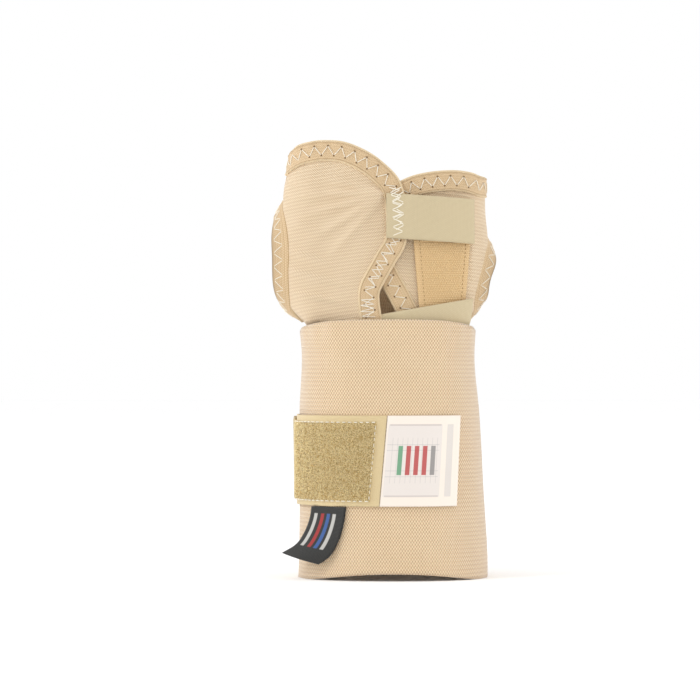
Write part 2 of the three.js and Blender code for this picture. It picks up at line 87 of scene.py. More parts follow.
# ---- Body sections: z, left, right, back, power ----
SKIN = np.array([
    (0, -35.4, 39.8, -29.8, 2.2),
    (50, -34.4, 37.1, -26.2, 2.2),
    (96, -33.3, 33.5, -21.5, 2.3),
    (109, -34.1, 34.1, -20.2, 2.4),
    (118, -42, 37.6, -19.4, 2.6),
    (138, -46, 43.6, -18, 2.8),
    (162, -45, 41.4, -16.6, 2.8),
    (192, -40.8, 41.6, -15, 2.8),
])
CUFF = np.array([
    (0, -39.4, 44, 2.2),
    (46, -38.8, 41.8, 2.4),
    (72, -39, 40.3, 2.6),
    (96, -38, 38.4, 3),
    (113, -39, 39, 3),
])
STAY_RADIUS = 1200
STAY_MIDDLE = 95
PALM_AT_MIDDLE = 26
CUFF_BACK_ROOM = 7.6
CUFF_PALM_ROOM = 10


def through(table, column, z):
    """A smooth curve through one column of a table that never overshoots it."""
    heights, values = table[:, 0], table[:, column]
    slopes = np.diff(values) / np.diff(heights)
    before, after = slopes[:-1], slopes[1:]
    same = before * after > 0
    total = np.where(same, before + after, 1)
    tangents = np.concatenate([[0], np.where(same, 2 * before * after / total, 0), [0]])
    z = np.clip(z, heights[0], heights[-1])
    i = np.clip(np.searchsorted(heights, z, side="right") - 1, 0, len(slopes) - 1)
    span = heights[i + 1] - heights[i]
    s = (z - heights[i]) / span
    rise = s * s * (3 - 2 * s)
    start = s * (1 - s) ** 2 * span * tangents[i]
    end = s * s * (s - 1) * span * tangents[i + 1]
    return values[i] + (values[i + 1] - values[i]) * rise + start + end


def palm_line(z):
    return PALM_AT_MIDDLE - (z - STAY_MIDDLE) ** 2 / (2 * STAY_RADIUS)


def skin(z):
    """Left, right, back, palm and power of the fabric's inner skin."""
    z = np.asarray(z, float)
    sides = [through(SKIN, column, z) for column in (1, 2, 3)]
    return (*sides, palm_line(z), through(SKIN, 4, z))


def cuff(z):
    """Left, right, back, palm and power of the cuff's outside."""
    z = np.asarray(z, float)
    back = through(SKIN, 3, z) - CUFF_BACK_ROOM
    return through(CUFF, 1, z), through(CUFF, 2, z), back, palm_line(z) + CUFF_PALM_ROOM, through(CUFF, 3, z)


def on_body(surface, angle, z, away):
    """Points at an angle round the body in degrees (0 at +X, 90 at the palm), grown outwards."""
    left, right, back, palm, power = surface(z)
    turn = np.radians(angle)
    c, s = np.cos(turn), np.sin(turn)
    x = (left + right) / 2 + np.sign(c) * np.abs(c) ** (2 / power) * ((right - left) / 2 + away)
    y = (back + palm) / 2 + np.sign(s) * np.abs(s) ** (2 / power) * ((palm - back) / 2 + away)
    return np.stack(np.broadcast_arrays(x, y, np.asarray(z, float)), axis=-1)


def angle_at(surface, x, z, away):
    """The angle on the back side where the body stands at x."""
    left, right, _, _, power = surface(z)
    share = np.clip((x - (left + right) / 2) / ((right - left) / 2 + away), -1, 1)
    return 360 - np.degrees(np.arccos(np.sign(share) * np.abs(share) ** (power / 2)))


def mix(a, b, t):
    return a + (b - a) * t


def pair(a, b):
    return np.stack([a, b], axis=-1)


def smoothstep(t, low=0.0, high=1.0):
    s = np.clip((t - low) / (high - low), 0, 1)
    return s * s * (3 - 2 * s)


class ArcMap:
    """Length round a body from the middle of its back, by angle and height, and back again."""

    FIRST, STEP, COUNT = -60.0, 0.5, 1141
    LAST, HALVINGS = 500.0, 24

    def __init__(self, surface, top):
        self.angles = self.FIRST + self.STEP * np.arange(self.COUNT)
        self.gap = 4.0
        rows = []
        for height in np.arange(0.0, top + self.gap, self.gap):
            points = on_body(surface, self.angles, np.full(self.COUNT, height), 0)
            walked = np.concatenate([[0], np.cumsum(np.linalg.norm(np.diff(points, axis=0), axis=1))])
            rows.append(walked - np.interp(270, self.angles, walked))
        self.rows = np.array(rows)

    def length(self, angle, z):
        angle, z = np.broadcast_arrays(np.asarray(angle, float), np.asarray(z, float))
        level = np.clip(z / self.gap, 0, len(self.rows) - 1.001)
        column = np.clip((angle - self.FIRST) / self.STEP, 0, self.COUNT - 1.001)
        i, j = level.astype(int), column.astype(int)
        s, t = level - i, column - j
        below = mix(self.rows[i, j], self.rows[i, j + 1], t)
        above = mix(self.rows[i + 1, j], self.rows[i + 1, j + 1], t)
        return mix(below, above, s)

    def angle(self, length, z):
        length, z = np.broadcast_arrays(np.asarray(length, float), np.asarray(z, float))
        low, high = np.full(length.shape, self.FIRST), np.full(length.shape, self.LAST)
        for _ in range(self.HALVINGS):
            middle = (low + high) / 2
            past = self.length(middle, z) > length
            high = np.where(past, middle, high)
            low = np.where(past, low, middle)
        return (low + high) / 2


SKIN_ARC_TOP, CUFF_ARC_TOP = 192, 116
SKIN_ARC = ArcMap(skin, SKIN_ARC_TOP)
CUFF_ARC = ArcMap(cuff, CUFF_ARC_TOP)
ROUND_THE_SIDE = 4.0


def front_angle(surface, x, z, away):
    """Where x lies on the back; past the last few millimetres before a side, x is walked round the side."""
    left, right, _, _, _ = surface(z)
    arc = CUFF_ARC if surface is cuff else SKIN_ARC
    inside = np.clip(x, left + ROUND_THE_SIDE, right - ROUND_THE_SIDE)
    angle = angle_at(surface, inside, z, away)
    extra = np.asarray(x - inside, float)
    if np.any(np.abs(extra) > 1e-9):
        walked = arc.angle(arc.length(angle, z) + extra, z)
        angle = np.where(np.abs(extra) > 1e-9, walked, angle)
    return angle


def drape(surface, x, z, away):
    x, z, away = np.broadcast_arrays(np.asarray(x, float), np.asarray(z, float), np.asarray(away, float))
    return on_body(surface, front_angle(surface, x, z, away), z, away)


def body_uv(surface, angle, z):
    arc = CUFF_ARC if surface is cuff else SKIN_ARC
    return np.stack(np.broadcast_arrays(arc.length(angle, z), z), axis=-1)


# ---- Meshes ----
def make_object(name, points, faces, material, body, uv=None, smooth=True):
    mesh = bpy.data.meshes.new(name)
    mesh.from_pydata(((np.asarray(points) + SHIFT) * MM).tolist(), [], faces)
    mesh.validate()
    if uv is not None:
        layer = mesh.uv_layers.new(name="fabric")
        corner = np.empty(len(mesh.loops), int)
        mesh.loops.foreach_get("vertex_index", corner)
        layer.data.foreach_set("uv", np.asarray(uv, np.float32)[corner].ravel())
    mesh.polygons.foreach_set("use_smooth", [smooth] * len(mesh.polygons))
    mesh.materials.append(material)
    made = bpy.data.objects.new(name, mesh)
    bpy.context.scene.collection.objects.link(made)
    if body:
        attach(made, body)
    return made


def grid(columns, rows):
    u, v = np.meshgrid(np.linspace(0, 1, columns + 1), np.linspace(0, 1, rows + 1), indexing="ij")
    return u.ravel(), v.ravel()


def slab_faces(columns, rows, ring=False):
    across = columns + 1
    count = across * (rows + 1)

    def at(side, i, j):
        return side * count + (i % columns if ring else i) * (rows + 1) + j

    faces = []
    for i in range(columns):
        for j in range(rows):
            faces.append((at(1, i, j), at(1, i + 1, j), at(1, i + 1, j + 1), at(1, i, j + 1)))
            faces.append((at(0, i, j), at(0, i, j + 1), at(0, i + 1, j + 1), at(0, i + 1, j)))
        faces.append((at(0, i, 0), at(0, i + 1, 0), at(1, i + 1, 0), at(1, i, 0)))
        faces.append((at(1, i, rows), at(1, i + 1, rows), at(0, i + 1, rows), at(0, i, rows)))
    if ring:
        return faces
    for j in range(rows):
        faces.append((at(0, 0, j), at(1, 0, j), at(1, 0, j + 1), at(0, 0, j + 1)))
        faces.append((at(1, columns, j), at(0, columns, j), at(0, columns, j + 1), at(1, columns, j + 1)))
    return faces


def slab(name, columns, rows, place, material, body, ring=False):
    """A closed sheet: place(u, v, side) gives points and fabric coordinates of its inner and outer skin."""
    u, v = grid(columns, rows)
    inner, uv_inner = place(u, v, 0)
    outer, uv_outer = place(u, v, 1)
    points = np.concatenate([inner, outer])
    uv = np.concatenate([uv_inner, uv_outer])
    faces = slab_faces(columns, rows, ring)
    a, b, c = (points[list(k)] for k in zip(*[f[:3] for f in faces]))
    if np.einsum("ij,ij->i", a, np.cross(b, c)).sum() < 0:
        faces = [f[::-1] for f in faces]
    return make_object(name, points, faces, material, body, uv)


def tubes(name, paths, radius, material, body, sides=6):
    """Round threads along lists of points, all in one mesh."""
    points, faces = [], []
    ring = np.linspace(0, 2 * math.pi, sides, endpoint=False)
    for path in paths:
        path = np.asarray(path, float)
        along = np.gradient(path, axis=0)
        along /= np.linalg.norm(along, axis=1, keepdims=True) + 1e-9
        helper = np.where(np.abs(along[:, 1:2]) < 0.8, [[0.0, 1.0, 0.0]], [[1.0, 0.0, 0.0]])
        first = np.cross(along, helper)
        first /= np.linalg.norm(first, axis=1, keepdims=True)
        second = np.cross(along, first)
        circle = first[:, None] * np.cos(ring)[None, :, None] + second[:, None] * np.sin(ring)[None, :, None]
        start = len(points)
        points.extend((path[:, None] + circle * radius).reshape(-1, 3))
        for i in range(len(path) - 1):
            for j in range(sides):
                k = (j + 1) % sides
                low, high = start + i * sides, start + (i + 1) * sides
                faces.append((low + j, low + k, high + k, high + j))
        faces.append(tuple(start + j for j in range(sides))[::-1])
        faces.append(tuple(start + (len(path) - 1) * sides + j for j in range(sides)))
    return make_object(name, np.array(points), faces, material, body)


# ---- Curves drawn from the front, in x and z ----
class Curve:
    """A smooth curve through front points, walked by share of its length."""

    def __init__(self, points, steps=24):
        p = np.array(points, float)
        ends = [2 * p[0] - p[1], *p, 2 * p[-1] - p[-2]]
        t = np.linspace(0, 1, steps, endpoint=False)[:, None]
        runs = []
        for a, b, c, d in zip(ends, ends[1:], ends[2:], ends[3:]):
            curve = 2 * b + (c - a) * t + (2 * a - 5 * b + 4 * c - d) * t**2 + (3 * b - a - 3 * c + d) * t**3
            runs.append(curve / 2)
        self.points = np.concatenate([*runs, p[-1:]])
        steps = np.linalg.norm(np.diff(self.points, axis=0), axis=1)
        self.walked = np.concatenate([[0], np.cumsum(steps)])
        self.length = self.walked[-1]

    def at(self, share):
        walked = np.asarray(share) * self.length
        return np.stack([np.interp(walked, self.walked, self.points[:, k]) for k in (0, 1)], axis=-1)

    def beside(self, share, distance):
        step = 0.6 / self.length
        along = self.at(np.clip(share + step, 0, 1)) - self.at(np.clip(share - step, 0, 1))
        along /= np.linalg.norm(along, axis=-1, keepdims=True)
        left = np.stack([-along[..., 1], along[..., 0]], axis=-1)
        return self.at(share) + left * np.asarray(distance)[..., None]


RADIAL_EDGE = Curve([
    (-56, 180.4), (-50, 180.6), (-46, 181.6), (-42.3, 183), (-38.7, 184.4), (-34.1, 185.4), (-28.8, 186),
    (-20, 185.2), (-10.7, 181.2), (-4, 176.2), (1, 170.6), (3, 163), (3.6, 148), (-0.8, 139.2),
    (-5.4, 131), (-8, 125.5), (-8.3, 120), (-7.2, 111.6),
])
ULNAR_EDGE = Curve([
    (14, 105.5), (8.6, 115.6), (4.5, 123.5), (0, 131.5), (-3, 138), (-4.4, 147), (-3, 157), (2, 164.8),
    (10, 169.8), (18.8, 172.1), (28.4, 172.9), (35, 172.3), (40, 171), (44, 170.6), (50, 170.5),
])


LIFT_FROM, LIFT_TO = -30, -10
CUFF_TOP, CUFF_CROWN, CUFF_FOOT_RISE = 107, 5.4, 3


def radial_lift(x):
    """How far the radial flap stands off to lie over the ulnar one."""
    return OVERLAP_LIFT * smoothstep(x, LIFT_FROM, LIFT_TO)


def no_lift(x):
    return np.zeros_like(x)


def cuff_top(angle):
    return CUFF_TOP + CUFF_CROWN * np.maximum(0, -np.sin(np.radians(angle))) ** 0.8


def cuff_bottom(angle):
    return CUFF_FOOT_RISE * (np.maximum(0, -np.sin(np.radians(angle)) - 0.4) / 0.6) ** 2


# ---- Materials ----
def colour(code):
    values = [int(code[i : i + 2], 16) / 255 for i in (1, 3, 5)]
    return (*[v / 12.92 if v <= 0.04045 else ((v + 0.055) / 1.055) ** 2.4 for v in values], 1)


class Shader:
    """A material with a few short words for the nodes it needs."""

    def __init__(self, name, base, rough=0.9, sheen=0.0, metal=0.0, specular=0.3):
        self.material = bpy.data.materials.new(name)
        self.material.use_nodes = True
        self.tree = self.material.node_tree
        self.shader = self.tree.nodes["Principled BSDF"]
        self.shader.inputs["Base Color"].default_value = colour(base)
        self.shader.inputs["Roughness"].default_value = rough
        self.shader.inputs["Sheen Weight"].default_value = sheen
        self.shader.inputs["Sheen Roughness"].default_value = 0.5
        self.shader.inputs["Metallic"].default_value = metal
        self.shader.inputs["Specular IOR Level"].default_value = specular
        self._uv = None

    def _feed(self, socket, value):
        if isinstance(value, bpy.types.NodeSocket):
            self.tree.links.new(value, socket)
        else:
            socket.default_value = value

    def math(self, operation, a, b=0.0, c=0.0):
        node = self.tree.nodes.new("ShaderNodeMath")
        node.operation = operation
        for socket, value in zip(node.inputs, (a, b, c)):
            self._feed(socket, value)
        return node.outputs[0]

    def times(self, a, b):
        return self.math("MULTIPLY", a, b)

    def uv(self):
        if self._uv is None:
            where = self.tree.nodes.new("ShaderNodeUVMap")
            where.uv_map = "fabric"
            parts = self.tree.nodes.new("ShaderNodeSeparateXYZ")
            self.tree.links.new(where.outputs[0], parts.inputs[0])
            self._uv = (parts.outputs[0], parts.outputs[1], where.outputs[0])
        return self._uv

    def noise(self, scale, detail=2.0, use_uv=True):
        node = self.tree.nodes.new("ShaderNodeTexNoise")
        node.inputs["Scale"].default_value = scale
        node.inputs["Detail"].default_value = detail
        if use_uv:
            self.tree.links.new(self.uv()[2], node.inputs["Vector"])
        return node.outputs[0]

    def ramp(self, value, low, high):
        node = self.tree.nodes.new("ShaderNodeMapRange")
        node.interpolation_type = "SMOOTHSTEP"
        self._feed(node.inputs["Value"], value)
        node.inputs["From Min"].default_value = low
        node.inputs["From Max"].default_value = high
        return node.outputs[0]

    def band(self, value, low, high, soft):
        """1 between low and high, with soft ends."""
        rise, fall = self.ramp(value, low - soft, low + soft), self.ramp(value, high + soft, high - soft)
        return self.times(rise, fall)

    def ovals(self, pitch_u, pitch_v, wide, tall, stagger=0.5, shift=0.0):
        """1 at the middle of small staggered ovals, falling to 0 at their rims."""
        u, v, _ = self.uv()
        row = self.math("DIVIDE", v, pitch_v)
        odd = self.math("MODULO", self.math("FLOOR", row), 2.0)
        along = self.math("ADD", self.math("DIVIDE", u, pitch_u), 400 + shift)
        column = self.math("MULTIPLY_ADD", odd, stagger, along)
        x = self.math("DIVIDE", self.math("SUBTRACT", self.math("FRACT", column), 0.5), wide)
        y = self.math("DIVIDE", self.math("SUBTRACT", self.math("FRACT", row), 0.5), tall)
        apart = self.math("ADD", self.times(x, x), self.times(y, y))
        return self.ramp(apart, 1.0, 0.15)

    def stripes(self, coordinate, pitch, share, offset=0.0):
        """1 inside a stripe of a share of each pitch, 0 elsewhere."""
        place = self.math("FRACT", self.math("DIVIDE", self.math("ADD", coordinate, offset), pitch))
        from_middle = self.math("ABSOLUTE", self.math("SUBTRACT", place, 0.5))
        return self.ramp(from_middle, share / 2 + 0.06, share / 2 - 0.06)

    def blend(self, share, a, b):
        node = self.tree.nodes.new("ShaderNodeMix")
        node.data_type = "RGBA"
        self._feed(node.inputs["Factor"], share)
        self._feed(node.inputs["A"], colour(a) if isinstance(a, str) else a)
        self._feed(node.inputs["B"], colour(b) if isinstance(b, str) else b)
        return node.outputs["Result"]

    def tint(self, base, share, amount, shade):
        """The base with an amount of another shade over a share of it."""
        return self.blend(self.times(share, amount), base, shade)

    def paint(self, socket):
        self.tree.links.new(socket, self.shader.inputs["Base Color"])

    def bump(self, height, distance, strength=1.0):
        node = self.tree.nodes.new("ShaderNodeBump")
        node.inputs["Distance"].default_value = distance * MM
        node.inputs["Strength"].default_value = strength
        self.tree.links.new(height, node.inputs["Height"])
        self.tree.links.new(node.outputs[0], self.shader.inputs["Normal"])


def woven_elastic():
    made = Shader("woven_elastic", "#dcbd93", sheen=0.7)
    bead = made.ovals(1.25, 0.9, 0.30, 0.62)
    dot = made.ovals(1.25, 0.9, 0.20, 0.40, shift=0.5)
    rows = made.stripes(made.uv()[1], 1.8, 0.5)
    ground = made.blend(bead, "#d9b993", "#f0dcba")
    ground = made.tint(ground, dot, 0.75, "#b2906a")
    off_middle = made.math("ABSOLUTE", made.uv()[0])
    sides = made.ramp(off_middle, 20.0, 40.0)
    rows = made.times(rows, made.math("MULTIPLY_ADD", sides, 0.24, 0.1))
    ground = made.blend(rows, ground, "#bd956b")
    cloudy = made.ramp(made.noise(0.06, 3.0), 0.35, 0.7)
    made.paint(made.tint(ground, cloudy, 0.12, "#e9d3b1"))
    height = made.math("SUBTRACT", made.times(bead, 0.6), dot)
    made.bump(made.math("SUBTRACT", height, made.times(rows, 2.0)), 0.22)
    return made.material


def knit_fabric():
    made = Shader("knit_fabric", "#e6cba5", sheen=0.3)
    bead = made.ovals(1.0, 0.52, 0.5, 0.62)
    dot = made.ovals(1.0, 0.52, 0.22, 0.40, shift=0.5)
    ground = made.blend(bead, "#e4c9a5", "#f2debf")
    ground = made.tint(ground, dot, 0.75, "#b79368")
    course = made.stripes(made.uv()[1], 1.56, 0.45)
    ground = made.tint(ground, course, 0.26, "#c29d72")
    cloudy = made.ramp(made.noise(0.05, 3.0), 0.35, 0.7)
    made.paint(made.tint(ground, cloudy, 0.15, "#eddabb"))
    made.bump(made.math("SUBTRACT", made.math("SUBTRACT", bead, dot), course), 0.13)
    return made.material


def binding_tape():
    made = Shader("binding_tape", "#d6b88c", sheen=0.25)
    across = made.uv()[1]
    bead = made.ovals(0.9, 0.55, 0.5, 0.45)
    ribs = made.stripes(across, 1.1, 0.55)
    from_middle = made.math("ABSOLUTE", made.math("SUBTRACT", across, BINDING_WIDTH / 2))
    ground = made.blend(bead, "#ccac82", "#e6cda8")
    ground = made.tint(ground, ribs, 0.25, "#e0c8a2")
    # Painted highlight: the rolled outer edge is lightened as if it caught the light; the same ramp also
    # raises it in the bump.
    edge = made.ramp(from_middle, 3.7, 4.0)
    # Painted shade: a dark line in the groove just inside the rolled edge, where shade falls.
    groove_painted_shade = made.band(from_middle, 3.4, 3.7, 0.1)
    ground = made.tint(ground, groove_painted_shade, 0.45, "#a17f54")
    made.paint(made.tint(ground, edge, 0.6, "#e6d1ab"))
    made.bump(made.math("ADD", made.math("ADD", bead, ribs), edge), 0.12)
    return made.material


def smooth_tape():
    made = Shader("smooth_tape", "#c6b893", rough=0.75, sheen=0.2)
    rib = made.stripes(made.uv()[0], 0.62, 0.55)
    grain = made.ovals(0.62, 0.5, 0.5, 0.45)
    made.paint(made.blend(grain, "#c3b18d", "#d6c8a6"))
    made.bump(made.math("ADD", rib, made.times(grain, 0.5)), 0.08)
    return made.material


def hook_tape():
    made = Shader("hook_tape", "#d0b084", rough=0.5, specular=0.4)
    grain = made.ovals(0.9, 0.8, 0.5, 0.4)
    made.paint(made.blend(grain, "#cfac7c", "#e2c494"))
    made.bump(grain, 0.12)
    return made.material


def loop_pile():
    made = Shader("loop_pile", "#b49c6e", sheen=0.3)
    u, v, _ = made.uv()
    inside = made.times(made.ramp(u, 3.9, 4.3), made.band(v, 2.1, 36.4, 0.2))
    fine = made.ramp(made.noise(1.6, 3.0), 0.35, 0.65)
    pile = made.blend(fine, "#b09563", "#d6bf8a")
    made.paint(made.blend(inside, "#dbc69a", pile))
    made.bump(made.noise(2.2, 4.0), 0.5)
    return made.material


def white_label():
    """A pale panel with a fine grid, plain upright bars and a grey rule beside it."""
    made = Shader("white_label", "#efe7dd", rough=0.45, specular=0.4)
    u, v, _ = made.uv()

    def window(left, right, low, high, soft=0.15):
        return made.times(made.band(u, left, right, soft), made.band(v, low, high, soft))

    shade = made.tint("#efe4d8", window(0.8, 25.0, 4.2, 35.2), 0.8, "#dfd8d3")
    uprights = made.times(made.stripes(u, 2.2, 0.09), window(3.0, 23.5, 10.0, 29.5))
    shade = made.tint(shade, uprights, 0.6, "#bdb8b5")
    for height in (12.8, 15.3, 24.1, 26.5):
        shade = made.tint(shade, window(1.0, 24.0, height - 0.12, height + 0.12, 0.1), 0.6, "#b5b1ae")
    shade = made.tint(shade, window(1.5, 24.5, 34.6, 35.3), 0.7, "#c4b9b4")
    shade = made.tint(shade, window(1.5, 24.5, 4.1, 4.8), 0.7, "#c4b9b4")
    shade = made.tint(shade, window(27.2, 30.0, 4.2, 35.2), 0.7, "#d0cbc7")
    for place, tone in enumerate(("#5d9a74", "#b53a3a", "#b53a3a", "#b53a3a", "#8d8a88")):
        left = 6.0 + 3.6 * place
        shade = made.tint(shade, window(left, left + 2.0, 13.5, 26.0, 0.1), 0.9, tone)
    made.paint(shade)
    made.bump(made.ovals(0.5, 0.5, 0.5, 0.45), 0.03)
    return made.material


def black_label():
    made = Shader("black_label", "#2b2b2a", rough=0.7, sheen=0.2)
    u, v, _ = made.uv()
    weave = made.ovals(0.5, 0.5, 0.5, 0.45)
    shade = made.blend(weave, "#232322", "#3b3b39")
    field = made.band(v, 6.8, 21.2, 0.2)
    for left, tone in ((1.8, "#c9c7c2"), (4.7, "#a83434"), (7.2, "#3f62a0"), (9.7, "#c9c7c2")):
        bar = made.times(made.band(u, left, left + 1.4, 0.1), field)
        shade = made.tint(shade, bar, 0.85, tone)
    made.paint(shade)
    made.bump(weave, 0.08)
    return made.material


def pile_fibre():
    made = Shader("pile_fibre", "#d4c08f", rough=0.6, sheen=0.4)
    shade = made.noise(900.0, 2.0, use_uv=False)
    made.paint(made.blend(made.ramp(shade, 0.35, 0.65), "#eecd87", "#fff6c6"))
    return made.material


def grained(name, base, scale, detail, height, **looks):
    """A plain shade with a fine random grain."""
    made = Shader(name, base, **looks)
    made.bump(made.noise(scale, detail, use_uv=False), height)
    return made.material


ELASTIC = woven_elastic()
KNIT = knit_fabric()
BIND = binding_tape()
TAPE_CLOTH = smooth_tape()
HOOK_TAPE = hook_tape()
LOOP = loop_pile()
WHITE = white_label()
BLACK = black_label()
THREAD_SHADE = grained("thread", "#f3ecdc", 2500.0, 2.0, 0.05, rough=0.6, sheen=0.3)
# Painted shade: the needle holes are coloured dark for the shade inside them.
NEEDLE_HOLE_PAINTED_SHADE = grained("needle_hole_painted_shade", "#7d6142", 3000.0, 2.0, 0.02)
FIBRE = pile_fibre()
# Painted shade: a darker copy of the pile fibre, for the shorter fibres low in the pile.
DEEP_FIBRE_PAINTED_SHADE = grained("deep_fibre", "#cbaa69", 900.0, 2.0, 0.02, rough=0.7)
TAN_THREAD = grained("tan_thread", "#a9885a", 900.0, 2.0, 0.02, rough=0.6)
HOOK = grained("hook_plastic", "#ecd29c", 3000.0, 2.0, 0.02, rough=0.3, specular=0.6)
METAL = grained("brushed_metal", "#b9bcc0", 1500.0, 3.0, 0.02, rough=0.35, metal=1.0)
CAP = grained("soft_cap", "#e6e2d6", 600.0, 3.0, 0.04, rough=0.6)


# ---- Relief of the stretched cloth ----
def ridge(x, z, start, end, width, height):
    """A soft fold along a line from start to end, fading out at both ends."""
    (x0, z0), (x1, z1) = start, end
    length = math.hypot(x1 - x0, z1 - z0)
    ux, uz = (x1 - x0) / length, (z1 - z0) / length
    along = ((x - x0) * ux + (z - z0) * uz) / length
    beside = -(x - x0) * uz + (z - z0) * ux
    fade = smoothstep(along, -0.15, 0.25) * (1 - smoothstep(along, 0.6, 1.15))
    return height * fade * np.exp(-((beside / width) ** 2))


def radial_relief(x, z):
    """Folds that fan out from the strap's corner, pulls at the thumb side, and a swell above the cuff."""
    corner = (-1, 167)
    folds = [
        (corner, (-28, 174), 1.4, 1.6), (corner, (-36, 167), 1.5, 2.2), (corner, (-36, 158), 1.7, 1.9),
        (corner, (-32, 148), 1.9, 1.7), (corner, (-26, 139), 2.0, 1.2),
        ((-44, 143), (-20, 134), 1.6, 1.7), ((-44, 134), (-18, 127), 1.5, 1.8),
        ((-42, 124), (-20, 120), 1.4, 1.5), ((-42, 155), (-26, 150), 2.2, 1.1),
    ]
    total = sum(ridge(x, z, *fold) for fold in folds)
    total = total + 1.8 * (1 - smoothstep(z, 109, 118)) * (1 - smoothstep(x, -37, -22))
    return total + 0.15 * np.sin(x * 0.5 + 1.3 * np.sin(z * 0.11)) * np.sin(z * 0.23)


def ulnar_relief(x, z):
    return ridge(x, z, (2, 140), (10, 128), 2.0, 0.4) + ridge(x, z, (37, 160), (37, 125), 1.6, 0.5)


def cuff_relief(angle, z):
    slow = 0.22 * np.sin(angle * 0.055 + 0.8 * np.sin(z * 0.05)) + 0.14 * np.sin(angle * 0.13 + z * 0.07)
    edge = smoothstep(z, 96, 112)
    return slow + 0.18 * edge * np.sin(angle * 0.32 + 0.6)


# ---- Thumb holes ----
HOLE_HALF_DEPTH = 12
RIM_DROP = 6.5
SIDE_MIDDLE = (skin(138)[2] + skin(138)[3]) / 2
HOLES = {
    "radial": {"side": -1, "height": 138.5, "half": 25.5, "flare": 8.0},
    "ulnar": {"side": 1, "height": 131, "half": 17.5, "flare": 6.0},
}
HOLE_TUCK = 1.0


def hole_edge(hole, z, toward):
    """Where a panel ends on the palm side (1) or back (-1) of a hole, and whether z is beside the hole."""
    level = 1 - ((z - hole["height"]) / (hole["half"] - HOLE_TUCK)) ** 2
    y = SIDE_MIDDLE + toward * (HOLE_HALF_DEPTH - HOLE_TUCK) * np.sqrt(np.maximum(level, 0))
    _, _, back, palm, power = skin(z)
    depth = np.clip((y - (back + palm) / 2) / ((palm - back) / 2), -1, 1)
    turn = np.degrees(np.arcsin(np.sign(depth) * np.abs(depth) ** (power / 2)))
    return (turn if hole["side"] > 0 else 180 - turn), level > 0


def side_x(angle, z, side):
    """The x on the back that walks round to an angle on one side."""
    left, right, _, _, _ = skin(z)
    inside = left + ROUND_THE_SIDE if side < 0 else right - ROUND_THE_SIDE
    return inside + SKIN_ARC.length(angle, z) - SKIN_ARC.length(angle_at(skin, inside, z, 0), z)


def up_to_hole(far, hole):
    """The same far line, but beside a thumb hole it stops at the hole's edge."""

    def line(share):
        at = far(share)
        angle, beside = hole_edge(hole, at[:, 1], -1)
        edge = side_x(angle % 360, at[:, 1], hole["side"])
        stop = np.maximum(edge, at[:, 0]) if hole["side"] < 0 else np.minimum(edge, at[:, 0])
        at[:, 0] = np.where(beside, stop, at[:, 0])
        return at

    return line


# ---- Cloth pieces ----
def quarter_round(distance, radius):
    """How far a rounded edge has risen, from 0 to 1, at a distance in from it."""
    return np.sqrt(np.clip(1 - (1 - np.clip(distance / radius, 0, 1)) ** 2, 0, 1))


def rounded(v, side, width, thickness, edge=0.9):
    """Distance out for a tape's skin, with soft edges across its width."""
    soft = quarter_round(np.minimum(v, 1 - v) * width, edge)
    return thickness / 2 + (side - 0.5) * thickness * (0.25 + 0.75 * soft)


def steps_between(values, steps):
    """Each value and a few steps on from it to the next."""
    t = np.linspace(0, 1, steps, endpoint=False)
    return np.concatenate([mix(a, b, t) for a, b in zip(values, values[1:])])


def binding_band(name, curve, lift, body, steps, base=0.0):
    """A folded tape along a bound edge, with a piping at both borders and a slight pucker."""

    def place(u, v, side):
        at = curve.beside(u, (v - 0.5) * BINDING_WIDTH)
        x, z = at[:, 0], at[:, 1]
        piping = np.exp(-(((np.abs(v - 0.5) - 0.43) / 0.035) ** 2)) * 0.28
        pucker = 0.10 * np.sin(u * curve.length * 2 * math.pi / 5.5)
        away = lift(x) + base + rounded(v, side, BINDING_WIDTH, BINDING - 0.2) + side * (piping + pucker)
        return drape(skin, x, z, away), pair(u * curve.length, v * BINDING_WIDTH)

    return slab(name, steps, 14, place, BIND, body)


ZIGZAG_PERIOD = 5.5
ZIGZAG_REACH = 2.1


def zigzag_points(curve, where, start=0.0, end=1.0, period=ZIGZAG_PERIOD, reach=ZIGZAG_REACH, phase=0.0):
    """A zigzag thread along a curve, and its needle holes; where(x, z, dip) lays a point on the cloth."""
    count = int(curve.length * (end - start) / (period / 2))
    shares = start + (end - start) * np.arange(count + 1) / count
    swing = np.where((np.arange(count + 1) + int(phase)) % 2 == 0, reach, -reach)
    peaks = curve.beside(shares, swing)
    t = np.linspace(0, 1, 6, endpoint=False)
    rows = [peaks[i] + (peaks[i + 1] - peaks[i]) * t[:, None] for i in range(count)]
    flat = np.concatenate([*rows, peaks[-1:]])
    dip = np.tile(np.where(t == 0, -0.35, np.where((t < 0.25) | (t > 0.75), 0.02, 0.08)), count)
    dip = np.append(dip, -0.35)
    return where(flat[:, 0], flat[:, 1], dip), where(peaks[:, 0], peaks[:, 1], np.full(len(peaks), 0.02))


def holes(name, spots, body, size=0.42):
    """Small dimples where a needle went through, coloured dark as painted shade in the holes."""
    points, faces = [], []
    for spot in np.concatenate(spots):
        start = len(points)
        for up in (-1, 0, 1):
            radius = size * (1 if up == 0 else 0.35)
            for k in range(6):
                turn = k * math.pi / 3
                points.append(spot + np.array([radius * math.cos(turn), up * 0.09, radius * math.sin(turn)]))
        for level in (0, 1):
            for k in range(6):
                a, b = start + level * 6 + k, start + level * 6 + (k + 1) % 6
                faces.append((a, b, b + 6, a + 6))
        faces.append(tuple(start + k for k in range(6))[::-1])
        faces.append(tuple(start + 12 + k for k in range(6)))
    return make_object(name, np.array(points), faces, NEEDLE_HOLE_PAINTED_SHADE, body)


FACES_BACK_BEFORE = -10.5


